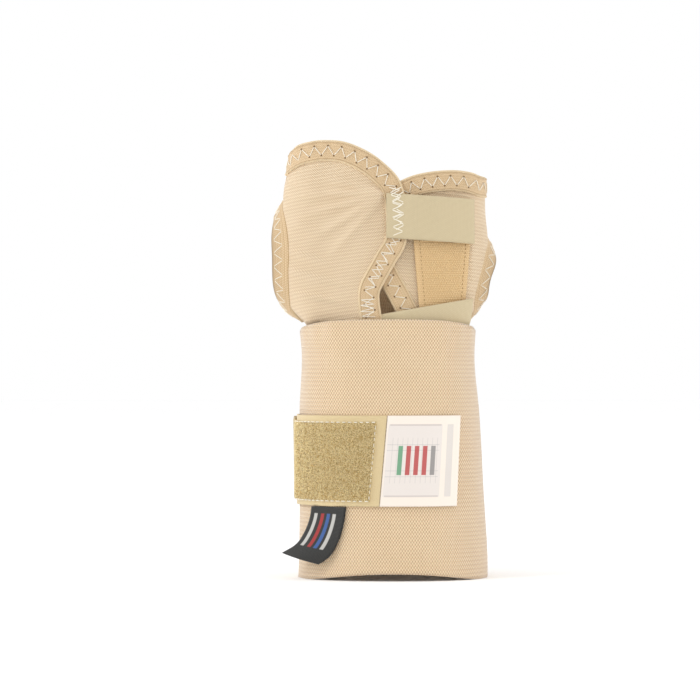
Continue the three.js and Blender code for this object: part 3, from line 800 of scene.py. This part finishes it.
def binding_thread(name, curve, lift, body, start=0.01, end=0.99, base=0.0):
    def where(x, z, dip):
        return drape(skin, x, z, lift(x) + base + BINDING - 0.02 + dip)

    path, spots = zigzag_points(curve, where, start, end)
    facing_back = spots[:, 1] < FACES_BACK_BEFORE
    return tubes(name, [path], THREAD, THREAD_SHADE, body), holes(name + "_holes", [spots[facing_back]], body)


def flap(name, edge, far, lift, relief, body, columns, rows, grain):
    """A panel between its bound edge and a far line, each given by share of the way along."""

    def place(u, v, side):
        near = edge.beside(u, -(BINDING_WIDTH / 2 - 1.5) * np.ones_like(u))
        at = mix(far(u), near, v[:, None])
        x, z = at[:, 0], at[:, 1]
        fade = smoothstep(v, 0.0, 0.08) * (1 - smoothstep(v, 0.93, 1.0))
        over_panel = 0.4 * (1 - smoothstep(v, 0.05, 0.35))
        away = lift(x) + 0.15 + over_panel + side * (FABRIC - 0.3) + relief(x, z) * fade
        angle = front_angle(skin, x, z, away)
        cloth = body_uv(skin, angle, z)
        turned = np.stack([cloth[:, 0] + grain * cloth[:, 1], cloth[:, 1] - grain * cloth[:, 0]], axis=-1)
        return on_body(skin, angle, z, away), turned

    return slab(name, columns, rows, place, KNIT, body)


def polyline(points):
    p = np.array(points, float)
    walked = np.concatenate([[0], np.cumsum(np.linalg.norm(np.diff(p, axis=0), axis=1))])
    walked /= walked[-1]
    return lambda share: np.stack([np.interp(share, walked, p[:, k]) for k in (0, 1)], axis=-1)


def radial_panel():
    far = polyline([
        (-56, 176), (-52, 171), (-50, 166), (-49, 161), (-48.5, 150), (-48.5, 135), (-47.5, 122), (-44, 116),
        (-40, 108.6), (-34, 109.8), (-28, 110.8), (-22, 111.6), (-14, 111.9),
    ])
    far = up_to_hole(far, HOLES["radial"])
    return flap("radial_flap_cloth", RADIAL_EDGE, far, radial_lift, radial_relief, None, 170, 70, 0.14)


def ulnar_panel():
    far = polyline([
        (25, 90), (34.5, 90), (38, 112), (42.5, 118), (46, 130), (47, 142), (48.5, 149), (51, 156), (54, 166),
    ])
    far = up_to_hole(far, HOLES["ulnar"])
    return flap("ulnar_flap_cloth", ULNAR_EDGE, far, no_lift, ulnar_relief, "splint_body", 130, 60, -0.1)


def bend_at_radial_fold(piece):
    """The cloth that rounds the thumb side bends there when the flap is opened; here the piece's placement is
    only baked into its mesh.
    """
    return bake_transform(piece)


radial_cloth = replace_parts(radial_panel(), "radial_flap")
ulnar_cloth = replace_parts(ulnar_panel(), "ulnar_flap")
radial_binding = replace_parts(
    binding_band("radial_flap_tape", RADIAL_EDGE, radial_lift, None, 260), "radial_flap_binding"
)
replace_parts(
    binding_band("ulnar_flap_tape", ULNAR_EDGE, no_lift, "splint_body", 200), "ulnar_flap_binding"
)
radial_zigzag = binding_thread("radial_flap_zigzag", RADIAL_EDGE, radial_lift, None, 0.02, 0.985)
binding_thread("ulnar_flap_zigzag", ULNAR_EDGE, no_lift, "splint_body", 0.03, 0.97)
for piece in (radial_cloth, radial_binding, *radial_zigzag):
    bend_at_radial_fold(piece)


def cut_from(piece):
    """Reads a piece's fabric coordinates, which hold the size of its flat pattern; nothing is done with them.
    """
    mesh = piece.data
    flat = np.empty(2 * len(mesh.loops))
    mesh.uv_layers["fabric"].uv.foreach_get("vector", flat)
    flat = flat.reshape(-1, 2)


cut_from(radial_cloth)
cut_from(ulnar_cloth)


# ---- Palm panel and its edge ----
def palm_top(angle):
    radial = smoothstep(angle, 100, 180)
    ulnar = 1 - smoothstep(angle, 0, 80)
    return 168.5 + radial * 12.5 + ulnar * 2


PANEL_FROM, PANEL_TO = -20.0, 200.0
ULNAR_KNEE, RADIAL_KNEE = 35.0, 145.0


def palm_cloth():
    """The panel under the hand, drawn as a fan from the middle of the palm out to its own edge."""
    low = 86.0

    def place(u, v, side):
        angle = mix(PANEL_FROM, PANEL_TO, u)
        z = mix(low, palm_top(angle) - 3.0, v)
        ulnar_end, beside_ulnar = hole_edge(HOLES["ulnar"], z, 1)
        radial_end, beside_radial = hole_edge(HOLES["radial"], z, 1)
        first = np.where(beside_ulnar, ulnar_end, PANEL_FROM)
        last = np.where(beside_radial, radial_end, PANEL_TO)
        to_ulnar = mix(ULNAR_KNEE, first, (ULNAR_KNEE - angle) / (ULNAR_KNEE - PANEL_FROM))
        to_radial = mix(RADIAL_KNEE, last, (angle - RADIAL_KNEE) / (PANEL_TO - RADIAL_KNEE))
        angle_now = np.where(angle < ULNAR_KNEE, to_ulnar, np.where(angle > RADIAL_KNEE, to_radial, angle))
        tucked = 0.8 * smoothstep(np.abs(angle_now - 90), 82, 98)
        away = 0.15 - tucked + side * (FABRIC - 0.3)
        return on_body(skin, angle_now, z, away), body_uv(skin, angle_now, z)

    return slab("palm_cloth", 120, 90, place, KNIT, "splint_body")


def low_palm_cloth():
    def place(u, v, side):
        angle = mix(38.0, 142.0, u)
        z = mix(5.0, 88.0, v)
        away = 0.15 + side * (FABRIC - 0.3)
        return on_body(skin, angle, z, away), body_uv(skin, angle, z)

    return slab("palm_cloth_lower", 50, 30, place, KNIT, "splint_body")


PALM_EDGE_FROM, PALM_EDGE_TO = -8.0, 188.0


def palm_edge():
    def place(u, v, side):
        angle = mix(PALM_EDGE_FROM, PALM_EDGE_TO, u)
        z = palm_top(angle) + (v - 0.5) * BINDING_WIDTH
        ends = smoothstep(np.minimum(angle - PALM_EDGE_FROM, PALM_EDGE_TO - angle), 0, 25)
        away = rounded(v, side, BINDING_WIDTH, BINDING) - 1.0 * ends - 0.35 * (1 - ends)
        cloth = pair(SKIN_ARC.length(angle, z), v * BINDING_WIDTH)
        return on_body(skin, angle, z, away), cloth

    return slab("palm_edge_tape", 150, 12, place, BIND, "splint_body")


cut_from(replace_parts(palm_cloth(), "palm_panel"))
cut_from(low_palm_cloth())
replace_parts(palm_edge(), "palm_upper_binding")


def palm_zigzag():
    height = 172.0
    first, last = SKIN_ARC.length(PALM_EDGE_FROM, height), SKIN_ARC.length(PALM_EDGE_TO, height)
    count = int((last - first) / (ZIGZAG_PERIOD / 2))
    angles = SKIN_ARC.angle(np.linspace(first, last, count + 1), height)
    rise = np.where(np.arange(count + 1) % 2 == 0, ZIGZAG_REACH, -ZIGZAG_REACH)
    all_angles, rises = steps_between(angles, 5), steps_between(rise, 5)
    ends = smoothstep(np.minimum(all_angles - PALM_EDGE_FROM, PALM_EDGE_TO - all_angles), 0, 25)
    path = on_body(skin, all_angles, palm_top(all_angles) + rises, BINDING - 1.0 * ends + 0.08)
    tubes("palm_edge_zigzag", [path], THREAD, THREAD_SHADE, "splint_body")


palm_zigzag()


# ---- Thumb-hole collars ----
FOOT_SPREAD = 1.0


def collar_point(hole, turn, share):
    """From the collar's foot in the cloth (share 0) out to its rim (share 1)."""
    height = hole["half"] - RIM_DROP * share + FOOT_SPREAD * (1 - share) ** 2
    y = SIDE_MIDDLE + (HOLE_HALF_DEPTH + FOOT_SPREAD * (1 - share) ** 2) * np.cos(turn)
    z = hole["height"] + height * np.sin(turn)
    left, right, back, palm, power = skin(z)
    depth = np.minimum(1, np.abs((y - (back + palm) / 2) / ((palm - back) / 2)))
    x = (left + right) / 2 + hole["side"] * (right - left) / 2 * (1 - depth**power) ** (1 / power)
    wave = 0.35 * np.sin(turn * 5 + 1.0) * share
    rise = hole["flare"] * np.sin(share * math.pi / 2) * (0.4 + 0.6 * np.cos(turn) ** 2)
    return np.stack([x + hole["side"] * (rise + wave), y, z], axis=-1)


def collar_frame(hole, turn):
    width = collar_point(hole, turn, 1.0) - collar_point(hole, turn, 0.0)
    along = collar_point(hole, turn + 0.01, 0.5) - collar_point(hole, turn - 0.01, 0.5)
    out = np.cross(along, width)
    return out / np.linalg.norm(out, axis=-1, keepdims=True)


def collar(which, node):
    hole = HOLES[which]
    around = 2 * math.pi * hole["half"] * 0.78

    def place(u, v, side):
        turn = 2 * math.pi * (u - 0.25)
        share = np.clip(v * 1.04 - 0.02, -0.02, 1.02)
        piping = np.exp(-(((np.abs(v - 0.5) - 0.43) / 0.04) ** 2)) * 0.25
        thick = rounded(v, side, BINDING_WIDTH, BINDING - 0.1) - BINDING / 2 + (side * 2 - 1) * piping
        points = collar_point(hole, turn, np.clip(share, 0, 1.02)) + collar_frame(hole, turn) * thick[:, None]
        return points, pair(u * around, v * BINDING_WIDTH)

    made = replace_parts(slab("thumb_collar_" + which, 128, 14, place, BIND, "splint_body", ring=True), node)
    count = 2 * round(around / ZIGZAG_PERIOD)
    turns = np.linspace(0, 2 * math.pi, count + 1)
    shares = np.where(np.arange(count + 1) % 2 == 0, 0.72, 0.27)
    all_turns, all_shares = steps_between(turns, 6), steps_between(shares, 6)
    dips = np.tile([-0.3, 0.1, 0.1, 0.1, 0.1, 0.1], count)
    paths = []
    for face in (-1, 1):
        off = collar_frame(hole, all_turns) * (face * (BINDING / 2 - 0.05 + dips))[:, None]
        paths.append(collar_point(hole, all_turns, all_shares) + off)
    tubes(f"thumb_collar_{which}_zigzag", paths, THREAD, THREAD_SHADE, "splint_body")
    return made


collar("radial", "thumb_hole_binding_radial")
collar("ulnar", "thumb_hole_binding_ulnar")


# ---- Straps on the back of the hand ----
def front_line(start, end):
    (x0, z0), (x1, z1) = start, end
    return lambda x: z0 + (x - x0) * (z1 - z0) / (x1 - x0)


HAND_TOP = front_line((-1.3, 167.3), (37.7, 164.8))
WRIST_TOP = front_line((-6.7, 114), (37, 121.7))
HAND_STRAP_WIDTH, WRIST_STRAP_WIDTH = 19.6, 20


def hand_low(x):
    return HAND_TOP(x) - HAND_STRAP_WIDTH


def wrist_low(x):
    return WRIST_TOP(x) - WRIST_STRAP_WIDTH


def tape_piece(name, material, body, columns, rows, left, right, low, high, away, thickness, surface=skin):
    """A flat tape between two ends and two edges; left and right may lean with height."""
    middle_z = float(high(0) + low(0)) / 2
    width = float(high(0) - low(0))

    def place(u, v, side):
        z_guess = mix(low(0.0), high(0.0), v)
        x = mix(left(z_guess), right(z_guess), u)
        z = mix(low(x), high(x), v)
        out = away(x, z) + rounded(v, side, width, thickness, 0.5)
        length = float(right(middle_z) - left(middle_z)) * 1.04
        return drape(surface, x, z, out), pair(u * length, v * width)

    return slab(name, columns, rows, place, material, body)


def flat(value):
    return lambda *_: value


def hand_strap_away(x, z):
    drop = smoothstep(x, 7, 13)
    bow = 0.35 * np.sin(np.clip((x - 7) / 30, 0, 1) * math.pi) + 0.3 * smoothstep(x, 30, 38)
    return mix(SEWN_INNER - 0.15, STRAP_INNER, drop) + bow


hand_tape = tape_piece(
    "hand_strap_tape", TAPE_CLOTH, None, 90, 24, flat(-0.8), flat(37.6), hand_low, HAND_TOP,
    hand_strap_away, TAPE,
)
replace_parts(hand_tape, "hand_strap", "hand_strap_sewn_end")
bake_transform(hand_tape)
hand_pile = tape_piece(
    "hand_strap_loops", LOOP, "hand_strap", 30, 12, flat(14), flat(36.6),
    lambda x: hand_low(x) + 1, lambda x: HAND_TOP(x) - 1, flat(PILE_INNER), PILE,
)
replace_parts(hand_pile, "hand_strap_pile")


def strip_left(z):
    return 12.2 - (z - 132) * 0.08


def strip_right(z):
    return 34.7 + (z - 132) * 0.08


hook_strip = tape_piece(
    "hook_strip_tape", HOOK_TAPE, "splint_body", 40, 60, strip_left, strip_right, flat(94.0), flat(163.0),
    flat(STRIP_INNER), TAPE,
)
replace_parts(hook_strip, "fastener_strip")


def hook_field():
    """Small bent hooks in rows over the middle of the strip."""
    paths = []
    pitch = 1.15
    for row, z in enumerate(np.arange(113.0, 162.0, pitch)):
        xs = np.arange(strip_left(z) + 3.5, strip_right(z) - 2.6, pitch)
        xs = xs + (pitch / 2 if row % 2 else 0) + RANDOM.uniform(-0.08, 0.08, len(xs))
        foot = drape(skin, xs, np.full_like(xs, z), np.full_like(xs, STRIP_INNER + TAPE - 0.1))
        for spot in foot:
            lean = RANDOM.uniform(-0.1, 0.1)
            bend = [(0, 0, 0), (lean, -0.28, 0.05), (lean, -0.42, 0.25), (lean, -0.3, 0.5)]
            paths.append(spot + np.array(bend))
    return tubes("hook_field", paths, 0.14, HOOK, "splint_body", sides=5)


hook_field()


def wrist_strap_away(x, z):
    """Down at its end under the radial flap, and down where it slips under the cuff."""
    at_end = 1.2 * (1 - smoothstep(x, -2, 8))
    under_cuff = 2.6 * smoothstep(x, 27, 37) * (1 - smoothstep(z, 104, 114))
    return STRAP_INNER - at_end - under_cuff


wrist_tape = tape_piece(
    "wrist_strap_tape", TAPE_CLOTH, "splint_body", 70, 24, flat(-4.5), flat(37.3), wrist_low, WRIST_TOP,
    wrist_strap_away, TAPE,
)
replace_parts(wrist_tape, "wrist_strap", "wrist_strap_pile")


# ---- Stitching on the tapes ----
def strip_stitches():
    """Short tan running stitches inside both borders of the hook strip."""
    paths = []
    for edge_at in (lambda z: strip_left(z) + 2.7, lambda z: strip_right(z) - 1.9):
        for z in np.arange(100.0, 162.0, 1.7):
            zs = z + np.array([0, 0.25, 0.85, 1.1])
            away = STRIP_INNER + TAPE + np.array([-0.35, 0.08, 0.08, -0.35])
            paths.append(drape(skin, edge_at(zs) + RANDOM.uniform(-0.12, 0.12), zs, away))
    tubes("hook_strip_stitches", paths, 0.15, TAN_THREAD, "splint_body")


strip_stitches()


def sewn_top(x, z):
    return np.full_like(x, SEWN_INNER + TAPE - 0.18)


def strap_tack():
    """Uneven zigzags that hold the strap down on the flap's binding."""
    runs = [((3.2, 169.4), (4.2, 148.6), 3.7, 2.4, 0), ((2.6, 169.8), (3.6, 156.5), 3.0, 2.1, 1),
            ((4.6, 167.5), (5.0, 151.0), 4.3, 1.9, 0)]
    paths = []
    for start, end, period, reach, phase in runs:
        line = Curve([start, mix(np.array(start), np.array(end), 0.5) + np.array([0.4, 0]), end])

        def where(x, z, dip):
            return drape(skin, x, z, sewn_top(x, z) + dip + 0.04)

        path, _ = zigzag_points(line, where, period=period, reach=reach, phase=phase)
        paths.append(path)
    tubes("hand_strap_tack", paths, 0.19, THREAD_SHADE, "radial_flap")


strap_tack()


def second_run():
    """Where the binding was sewn down again below the strap."""
    line = Curve([(2.9, 147.5), (-1.6, 139.8), (-5.6, 131.6), (-8.2, 125.5)])

    def where(x, z, dip):
        return drape(skin, x, z, radial_lift(x) + BINDING + dip)

    path, spots = zigzag_points(line, where, period=4.1, reach=2.3, phase=1)
    tubes("radial_flap_second_run", [path], THREAD, THREAD_SHADE, "radial_flap")


second_run()


def lower_tack():
    """The dense bar-tack across the lower end of the radial flap's binding."""
    curve = Curve([(-8.8, 121.5), (-9.2, 117.5), (-8.6, 113.0)])

    def where(x, z, dip):
        return drape(skin, x, z, radial_lift(x) + BINDING + dip)

    path, _ = zigzag_points(curve, where, period=2.1, reach=3.2)
    tubes("radial_flap_bar_tack", [path], THREAD, THREAD_SHADE, "radial_flap")


lower_tack()


# ---- Cuff ----
CUFF_SEAM = 124.0
CUFF_JOIN = 352.0
CUFF_END = 360 + 123.2


def cuff_layer(name, start, end, columns, body):
    """Woven elastic between two angles round the cuff."""

    def place(u, v, side):
        angle = mix(start, end, u)
        z = mix(cuff_bottom(angle), cuff_top(angle), v)
        away = (side - 1) * CUFF_THICKNESS + cuff_relief(angle, z) * np.minimum(1, v * 12)
        return on_body(cuff, angle, z, away - 0.25), body_uv(cuff, angle, z)

    return slab(name, columns, 70, place, ELASTIC, body)


cuff_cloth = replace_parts(cuff_layer("cuff_cloth", CUFF_SEAM, CUFF_JOIN, 180, "splint_body"), "cuff_band")
cuff_end_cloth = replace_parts(cuff_layer("cuff_end_cloth", CUFF_JOIN, CUFF_END, 100, None), "cuff_end")

cut_from(cuff_cloth)
cut_from(cuff_end_cloth)

PATCH_LOW, PATCH_HIGH = 32.0, 71.0
WHITE_LABEL_LENGTH = 33


def patch_right(z):
    return front_line((PATCH_LOW, -3.9), (PATCH_HIGH, -0.4))(z)


def label_right(z):
    return front_line((PATCH_LOW, 29.5), (PATCH_HIGH, 31.3))(z)


def patch_end(z):
    return angle_at(cuff, patch_right(z) - 0.15, z, 1.0)


PATCH_START = CUFF_SEAM + 4
PATCH_MEASURED_AT = 51.0
PATCH_LENGTH = float(
    CUFF_ARC.length(patch_end(PATCH_MEASURED_AT), PATCH_MEASURED_AT)
    - CUFF_ARC.length(PATCH_START, PATCH_MEASURED_AT)
)


def on_patch(from_right, z, away):
    """A point on the patch, a distance to the left of its right end."""
    return on_body(cuff, CUFF_ARC.angle(CUFF_ARC.length(patch_end(z), z) - from_right, z), z, away)


def loop_patch():
    """The base tape: raised under the loops, thin at its plain selvedge."""

    def place(u, v, side):
        z = mix(PATCH_LOW, PATCH_HIGH, v)
        from_right = (1 - u) * PATCH_LENGTH
        inside = smoothstep(z - PATCH_LOW, 1.9, 3.0) * smoothstep(PATCH_HIGH - z, 2.5, 3.6)
        inside = inside * smoothstep(from_right, 3.9, 5.0)
        away = 0.1 + side * (0.75 + 0.65 * inside)
        return on_patch(from_right, z, away), pair(from_right, z - PATCH_LOW)

    return slab("loop_patch_tape", 150, 60, place, LOOP, "splint_body")


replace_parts(loop_patch(), "loop_patch")


def loop_fibres(name, count, shade, tallest):
    z = PATCH_LOW + RANDOM.uniform(2.2, 36.2, count)
    from_right = RANDOM.uniform(4.2, PATCH_LENGTH - 0.5, count)
    foot = on_patch(from_right, z, np.full(count, 1.3))
    out = on_patch(from_right, z, np.full(count, 2.3)) - foot
    out /= np.linalg.norm(out, axis=1, keepdims=True)
    around = np.cross(out, [0.0, 0.0, 1.0])
    around /= np.linalg.norm(around, axis=1, keepdims=True)
    turn = RANDOM.uniform(0, 2 * math.pi, count)
    lean = around * np.cos(turn)[:, None] + np.array([0, 0, 1.0]) * np.sin(turn)[:, None]
    near_edge = np.minimum(z - PATCH_LOW, PATCH_HIGH - z)
    size = RANDOM.uniform(0.5, 1.0, count) * (0.45 + 0.55 * smoothstep(near_edge, 1.5, 5.5))
    stages = [(0.0, 0.0), (0.25, 0.6), (0.75, 0.85), (1.15, 0.45)]
    paths = np.stack(
        [foot + lean * (a * size)[:, None] + out * (b * size * tallest)[:, None] for a, b in stages], axis=1
    )
    return tubes(name, list(paths), 0.09, shade, "splint_body", sides=3)


# The taller fibres keep the pile fibre's colour; the shorter ones take the darker copy as painted shade low
# in the pile.
loop_fibres("loop_patch_fibres", 13000, FIBRE, 1.0)
loop_fibres("loop_patch_deep_fibres", 6000, DEEP_FIBRE_PAINTED_SHADE, 0.75)


def patch_stitches():
    """A row of short lockstitches just inside the patch's selvedge."""
    paths = []
    pitch, dash = 2.5, 1.6
    hop = np.array([0, 0.3, dash - 0.3, dash])
    for height in (PATCH_LOW + 2.3, PATCH_HIGH - 2.9):
        for place in np.arange(4.6, PATCH_LENGTH - 3, pitch):
            paths.append(on_patch(place + hop, np.full(4, height), np.array([0.7, 1.75, 1.75, 0.7])))
    for z in np.arange(PATCH_LOW + 3.0, PATCH_HIGH - 4.5, pitch):
        paths.append(on_patch(np.full(4, 4.4), z + hop, np.array([0.7, 1.7, 1.7, 0.7])))
    return tubes("loop_patch_stitches", paths, 0.2, THREAD_SHADE, "splint_body")


patch_stitches()


def white_label_piece():
    def place(u, v, side):
        z = mix(PATCH_LOW, PATCH_HIGH, v)
        x = mix(patch_right(z) + 0.1, label_right(z), u)
        lift = 0.25 * smoothstep(u, 0.92, 1.0) + 0.12 * np.sin(v * 9 + u * 4)
        away = 0.25 + side * 0.55 + lift
        return drape(cuff, x, z, away), pair(u * WHITE_LABEL_LENGTH, z - PATCH_LOW)

    return slab("white_label_piece", 60, 60, place, WHITE, "splint_body")


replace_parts(white_label_piece(), "blank_label")

# ---- Black side label ----
LABEL_TOP, LABEL_WIDTH, LABEL_DROP = 31.7, 14.6, 24
LABEL_LEFT_EDGE = Curve([(-32.9, 31.7), (-33.4, 26), (-35.2, 20), (-38.0, 15.2), (-43.2, 11.4)])
LABEL_RIGHT_EDGE = Curve([(-18.3, 31.7), (-19.0, 24.6), (-20.6, 17.2), (-23.4, 11.2), (-27.8, 6.9)])


def label_points(u, v, out_by):
    """u across from the radial side, v up from the foot; out_by is the distance off its middle layer."""
    left, right = LABEL_LEFT_EDGE.at(1 - v), LABEL_RIGHT_EDGE.at(1 - v)
    front = mix(left, right, u[:, None])
    a = drape(cuff, -32.7, LABEL_TOP, 1.3)
    b = drape(cuff, -18.1, LABEL_TOP, 1.3)
    across = (b - a) / np.linalg.norm(b - a)
    out = np.array([across[1], -across[0], 0])
    points = a + across * ((front[:, 0] - a[0]) / across[0])[:, None]
    points[:, 2] = front[:, 1]
    drop = 1 - v
    stand = (4.6 - 1.2 * u) * drop**1.3 + 1.3 * np.sin(u * math.pi) * drop**2
    return points + out * (stand + out_by)[:, None]


def side_label():
    def place(u, v, side):
        from_edge = np.minimum(u, 1 - u) * LABEL_WIDTH
        open_by = 0.25 + 0.5 * (1 - v) * np.sin(u * math.pi)
        out_by = 0.5 + (side - 0.5) * open_by * np.minimum(1, 0.5 + from_edge)
        return label_points(u, v, out_by), pair(u * LABEL_WIDTH, v * LABEL_DROP)

    return slab("side_label_cloth", 24, 40, place, BLACK, "side_label")


def side_label_back():
    def place(u, v, side):
        out_by = -0.35 - 0.35 * (1 - v) * np.sin(u * math.pi) + side * 0.3
        return label_points(u, v * 0.97 + 0.03, out_by), pair(u * LABEL_WIDTH + 40, v * 4)

    return slab("side_label_back_fold", 24, 30, place, BLACK, "side_label")


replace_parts(side_label(), "side_label")
side_label_back()

# ---- Closure tab on the palm side ----
TAB_LOW, TAB_MIDDLE, TAB_HIGH = 33.0, 51.5, 70.0
TAB_BACK, TAB_HINGE, TAB_REACH = 96.0, 112.0, 160.0
HOOKS_INNER = 2.5
TAB_INNER = HOOKS_INNER + 1 + GAP


def cuff_strip(name, material, body, start, end, columns, inner, thickness, inset=0.0):
    def place(u, v, side):
        angle = mix(start, end, u)
        z = mix(TAB_LOW + inset, TAB_HIGH - inset, v)
        away = inner(angle) + rounded(v, side, TAB_HIGH - TAB_LOW, thickness, 0.5)
        return on_body(cuff, angle, z, away), pair(CUFF_ARC.length(angle, z), z)

    return slab(name, columns, 24, place, material, body)


def tab_inner(angle):
    return mix(GAP, TAB_INNER, smoothstep(angle, TAB_HINGE, TAB_HINGE + 14))


closure_tape = cuff_strip("closure_tape", TAPE_CLOTH, None, TAB_BACK, TAB_REACH, 80, tab_inner, TAPE)
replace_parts(closure_tape, "closure_tab", "closure_tab_sewn_end")
in_frame(on_body(cuff, TAB_HINGE - 1.5, TAB_MIDDLE, TAPE))
in_frame(on_body(cuff, TAB_HINGE + 2.5, TAB_MIDDLE, TAPE))
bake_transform(closure_tape)
closure_hooks = cuff_strip(
    "closure_hooks", HOOK_TAPE, "closure_tab", 131.0, TAB_REACH - 2, 30, flat(HOOKS_INNER), 1.0, 1.0
)
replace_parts(closure_hooks, "closure_tab_hooks")


def closure_stitches():
    paths = []
    for centre in (99.0, 109.0):
        for z in np.arange(TAB_LOW + 1.5, TAB_HIGH - 3.0, 2.5):
            zs = z + np.array([0, 0.3, 1.2, 1.5])
            away = GAP + TAPE + np.array([-0.4, 0.12, 0.12, -0.4])
            paths.append(on_body(cuff, np.full(4, centre), zs, away))
    return tubes("closure_stitches", paths, 0.2, THREAD_SHADE, "cuff_end")


closure_stitches()


# ---- Palmar stay and its pocket ----
def along_stay(x, z, depth):
    turn = (z - STAY_MIDDLE) / STAY_RADIUS
    radius = STAY_RADIUS + depth
    y = PALM_AT_MIDDLE - STAY_RADIUS + radius * np.cos(turn)
    return np.stack([x, y, STAY_MIDDLE + radius * np.sin(turn)], axis=-1)


CAP_WALL = 0.6
STAY_HALF, STAY_LOW, STAY_HIGH, STAY_THICKNESS = 10, 12, 158, 1.6
STAY_INNER = FABRIC + GAP + CAP_WALL + GAP
STAY_OUTER = STAY_INNER + STAY_THICKNESS
TIP_HALF, TIP_OVER, TIP_GRIP = 10.9, 1.5, 7
TIP_INNER = STAY_INNER - GAP - CAP_WALL
TIP_OUTER = STAY_OUTER + GAP + CAP_WALL
POCKET_HALF, POCKET_COVER, POCKET_MOUTH = 12.9, 0.9, 8
POCKET_LOW, POCKET_HIGH = 5.0, 162.0


def rounded_bar(name, half, low, high, inner, outer, material, body, rows, end_round):
    """A flat bar along the stay's arc with rounded corners at both ends."""

    def place(u, v, side):
        z = mix(low, high, v)
        from_end = np.minimum(z - low, high - z)
        narrow = 1 - quarter_round(from_end, end_round)
        x = mix(half, -half, u) * (1 - 0.45 * narrow)
        soft = quarter_round(np.minimum(u, 1 - u) * 2 * half, 0.7)
        middle = (inner + outer) / 2
        depth = middle + (side - 0.5) * (outer - inner) * (0.4 + 0.6 * soft)
        return along_stay(x, z, depth), pair(x, z)

    return slab(name, 20, rows, place, material, body)


def stay_tip(name, low, high):
    return rounded_bar(name, TIP_HALF, low, high, TIP_INNER, TIP_OUTER, CAP, "stay", 14, 5)


stay_bar = rounded_bar(
    "stay_bar", STAY_HALF, STAY_LOW, STAY_HIGH, STAY_INNER, STAY_OUTER, METAL, "stay", 60, 6
)
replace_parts(stay_bar, "palmar_stay")
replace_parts(stay_tip("stay_cap_upper", STAY_HIGH - TIP_GRIP, STAY_HIGH + TIP_OVER), "stay_tip_upper")
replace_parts(stay_tip("stay_cap_lower", STAY_LOW - TIP_OVER, STAY_LOW + TIP_GRIP), "stay_tip_lower")


def pocket():
    """A cover that meets the palm panel along both sides and its foot, and stands open at the top."""

    def place(u, v, side):
        x = mix(POCKET_HALF + 2, -POCKET_HALF - 2, u)
        z = mix(POCKET_LOW, POCKET_HIGH, v)
        beside = smoothstep(POCKET_HALF + 2 - np.abs(x), 0.0, 3.0)
        foot = smoothstep(z, POCKET_LOW, POCKET_LOW + 3)
        lift = TIP_OUTER + 0.25 - (TIP_OUTER - FABRIC) * (1 - beside * foot)
        points = along_stay(x, z, lift + side * POCKET_COVER)
        left, right, back, palm, power = skin(z)
        share = np.abs((x - (left + right) / 2) / ((right - left) / 2))
        panel = (back + palm) / 2 + (palm - back) / 2 * (1 - share**power) ** (1 / power)
        sewn = panel + FABRIC - 0.2 + side * POCKET_COVER
        points[:, 1] = mix(sewn, points[:, 1], beside * foot)
        return points, pair(x, z)

    return slab("stay_pocket_cloth", 44, 90, place, KNIT, "splint_body")


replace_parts(pocket(), "stay_pocket")


def pocket_mouth():
    def place(u, v, side):
        x = mix(POCKET_HALF, -POCKET_HALF, u)
        z = POCKET_HIGH - POCKET_MOUTH + v * POCKET_MOUTH
        away = TIP_OUTER + 1.2 + rounded(v, side, POCKET_MOUTH, TAPE, 0.5)
        return along_stay(x, z, away), pair(x + 40, v * BINDING_WIDTH)

    return slab("pocket_mouth_tape", 30, 10, place, BIND, "splint_body")


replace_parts(pocket_mouth(), "pocket_mouth_binding")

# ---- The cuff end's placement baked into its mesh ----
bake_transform(cuff_end_cloth)


# ---- Floor, world, lights and camera ----
def stage():
    floor_material = Shader("floor", "#ffffff", rough=0.9).material
    reach = 6.0
    mesh = bpy.data.meshes.new("floor")
    corners = [(-reach, -reach, 0), (reach, -reach, 0), (reach, reach, 0), (-reach, reach, 0)]
    mesh.from_pydata(corners, [], [(0, 1, 2, 3)])
    mesh.materials.append(floor_material)
    floor = bpy.data.objects.new("floor", mesh)
    bpy.context.scene.collection.objects.link(floor)

    world = bpy.data.worlds.new("studio")
    world.use_nodes = True
    world.node_tree.nodes["Background"].inputs[0].default_value = (1, 1, 1, 1)
    world.node_tree.nodes["Background"].inputs[1].default_value = 1.0
    bpy.context.scene.world = world

    def lamp(name, place, aim, size, power):
        data = bpy.data.lights.new(name, "AREA")
        data.shape = "SQUARE"
        data.size = size
        data.energy = power
        made = bpy.data.objects.new(name, data)
        bpy.context.scene.collection.objects.link(made)
        made.location = place
        direction = np.array(aim) - np.array(place)
        made.rotation_euler = to_euler(direction)

    lamp("key", (-1.1, -0.75, 1.3), (0, 0, 0.12), 0.35, 6)
    lamp("left", (-1.4, 0.1, 0.35), (0, 0, 0.1), 0.8, 4.5)
    lamp("right", (1.4, -0.1, 0.4), (0, 0, 0.1), 0.8, 4.5)


def to_euler(direction):
    """Rotation that points an object's -Z along a direction, with its Y kept upright."""
    x, y, z = direction / np.linalg.norm(direction)
    return (math.acos(-z), 0.0, math.atan2(-x, y))


def camera():
    """Straight at the back of the hand from 1.4 m away."""
    distance = 1.4
    frame_width = 0.3033
    surface_y = -0.02
    data = bpy.data.cameras.new("camera")
    data.sensor_width = 36
    data.lens = 36 * distance / frame_width
    made = bpy.data.objects.new("camera", data)
    bpy.context.scene.collection.objects.link(made)
    left_of_middle = 16.5
    x = (SHIFT[0] - left_of_middle) * MM
    made.location = (x, surface_y - distance, 0.095)
    aim = np.array((x, surface_y, 99.2 * MM))
    made.rotation_euler = to_euler(aim - np.array(made.location))
    bpy.context.scene.camera = made


stage()
camera()
bpy.context.scene.view_settings.view_transform = "Standard"
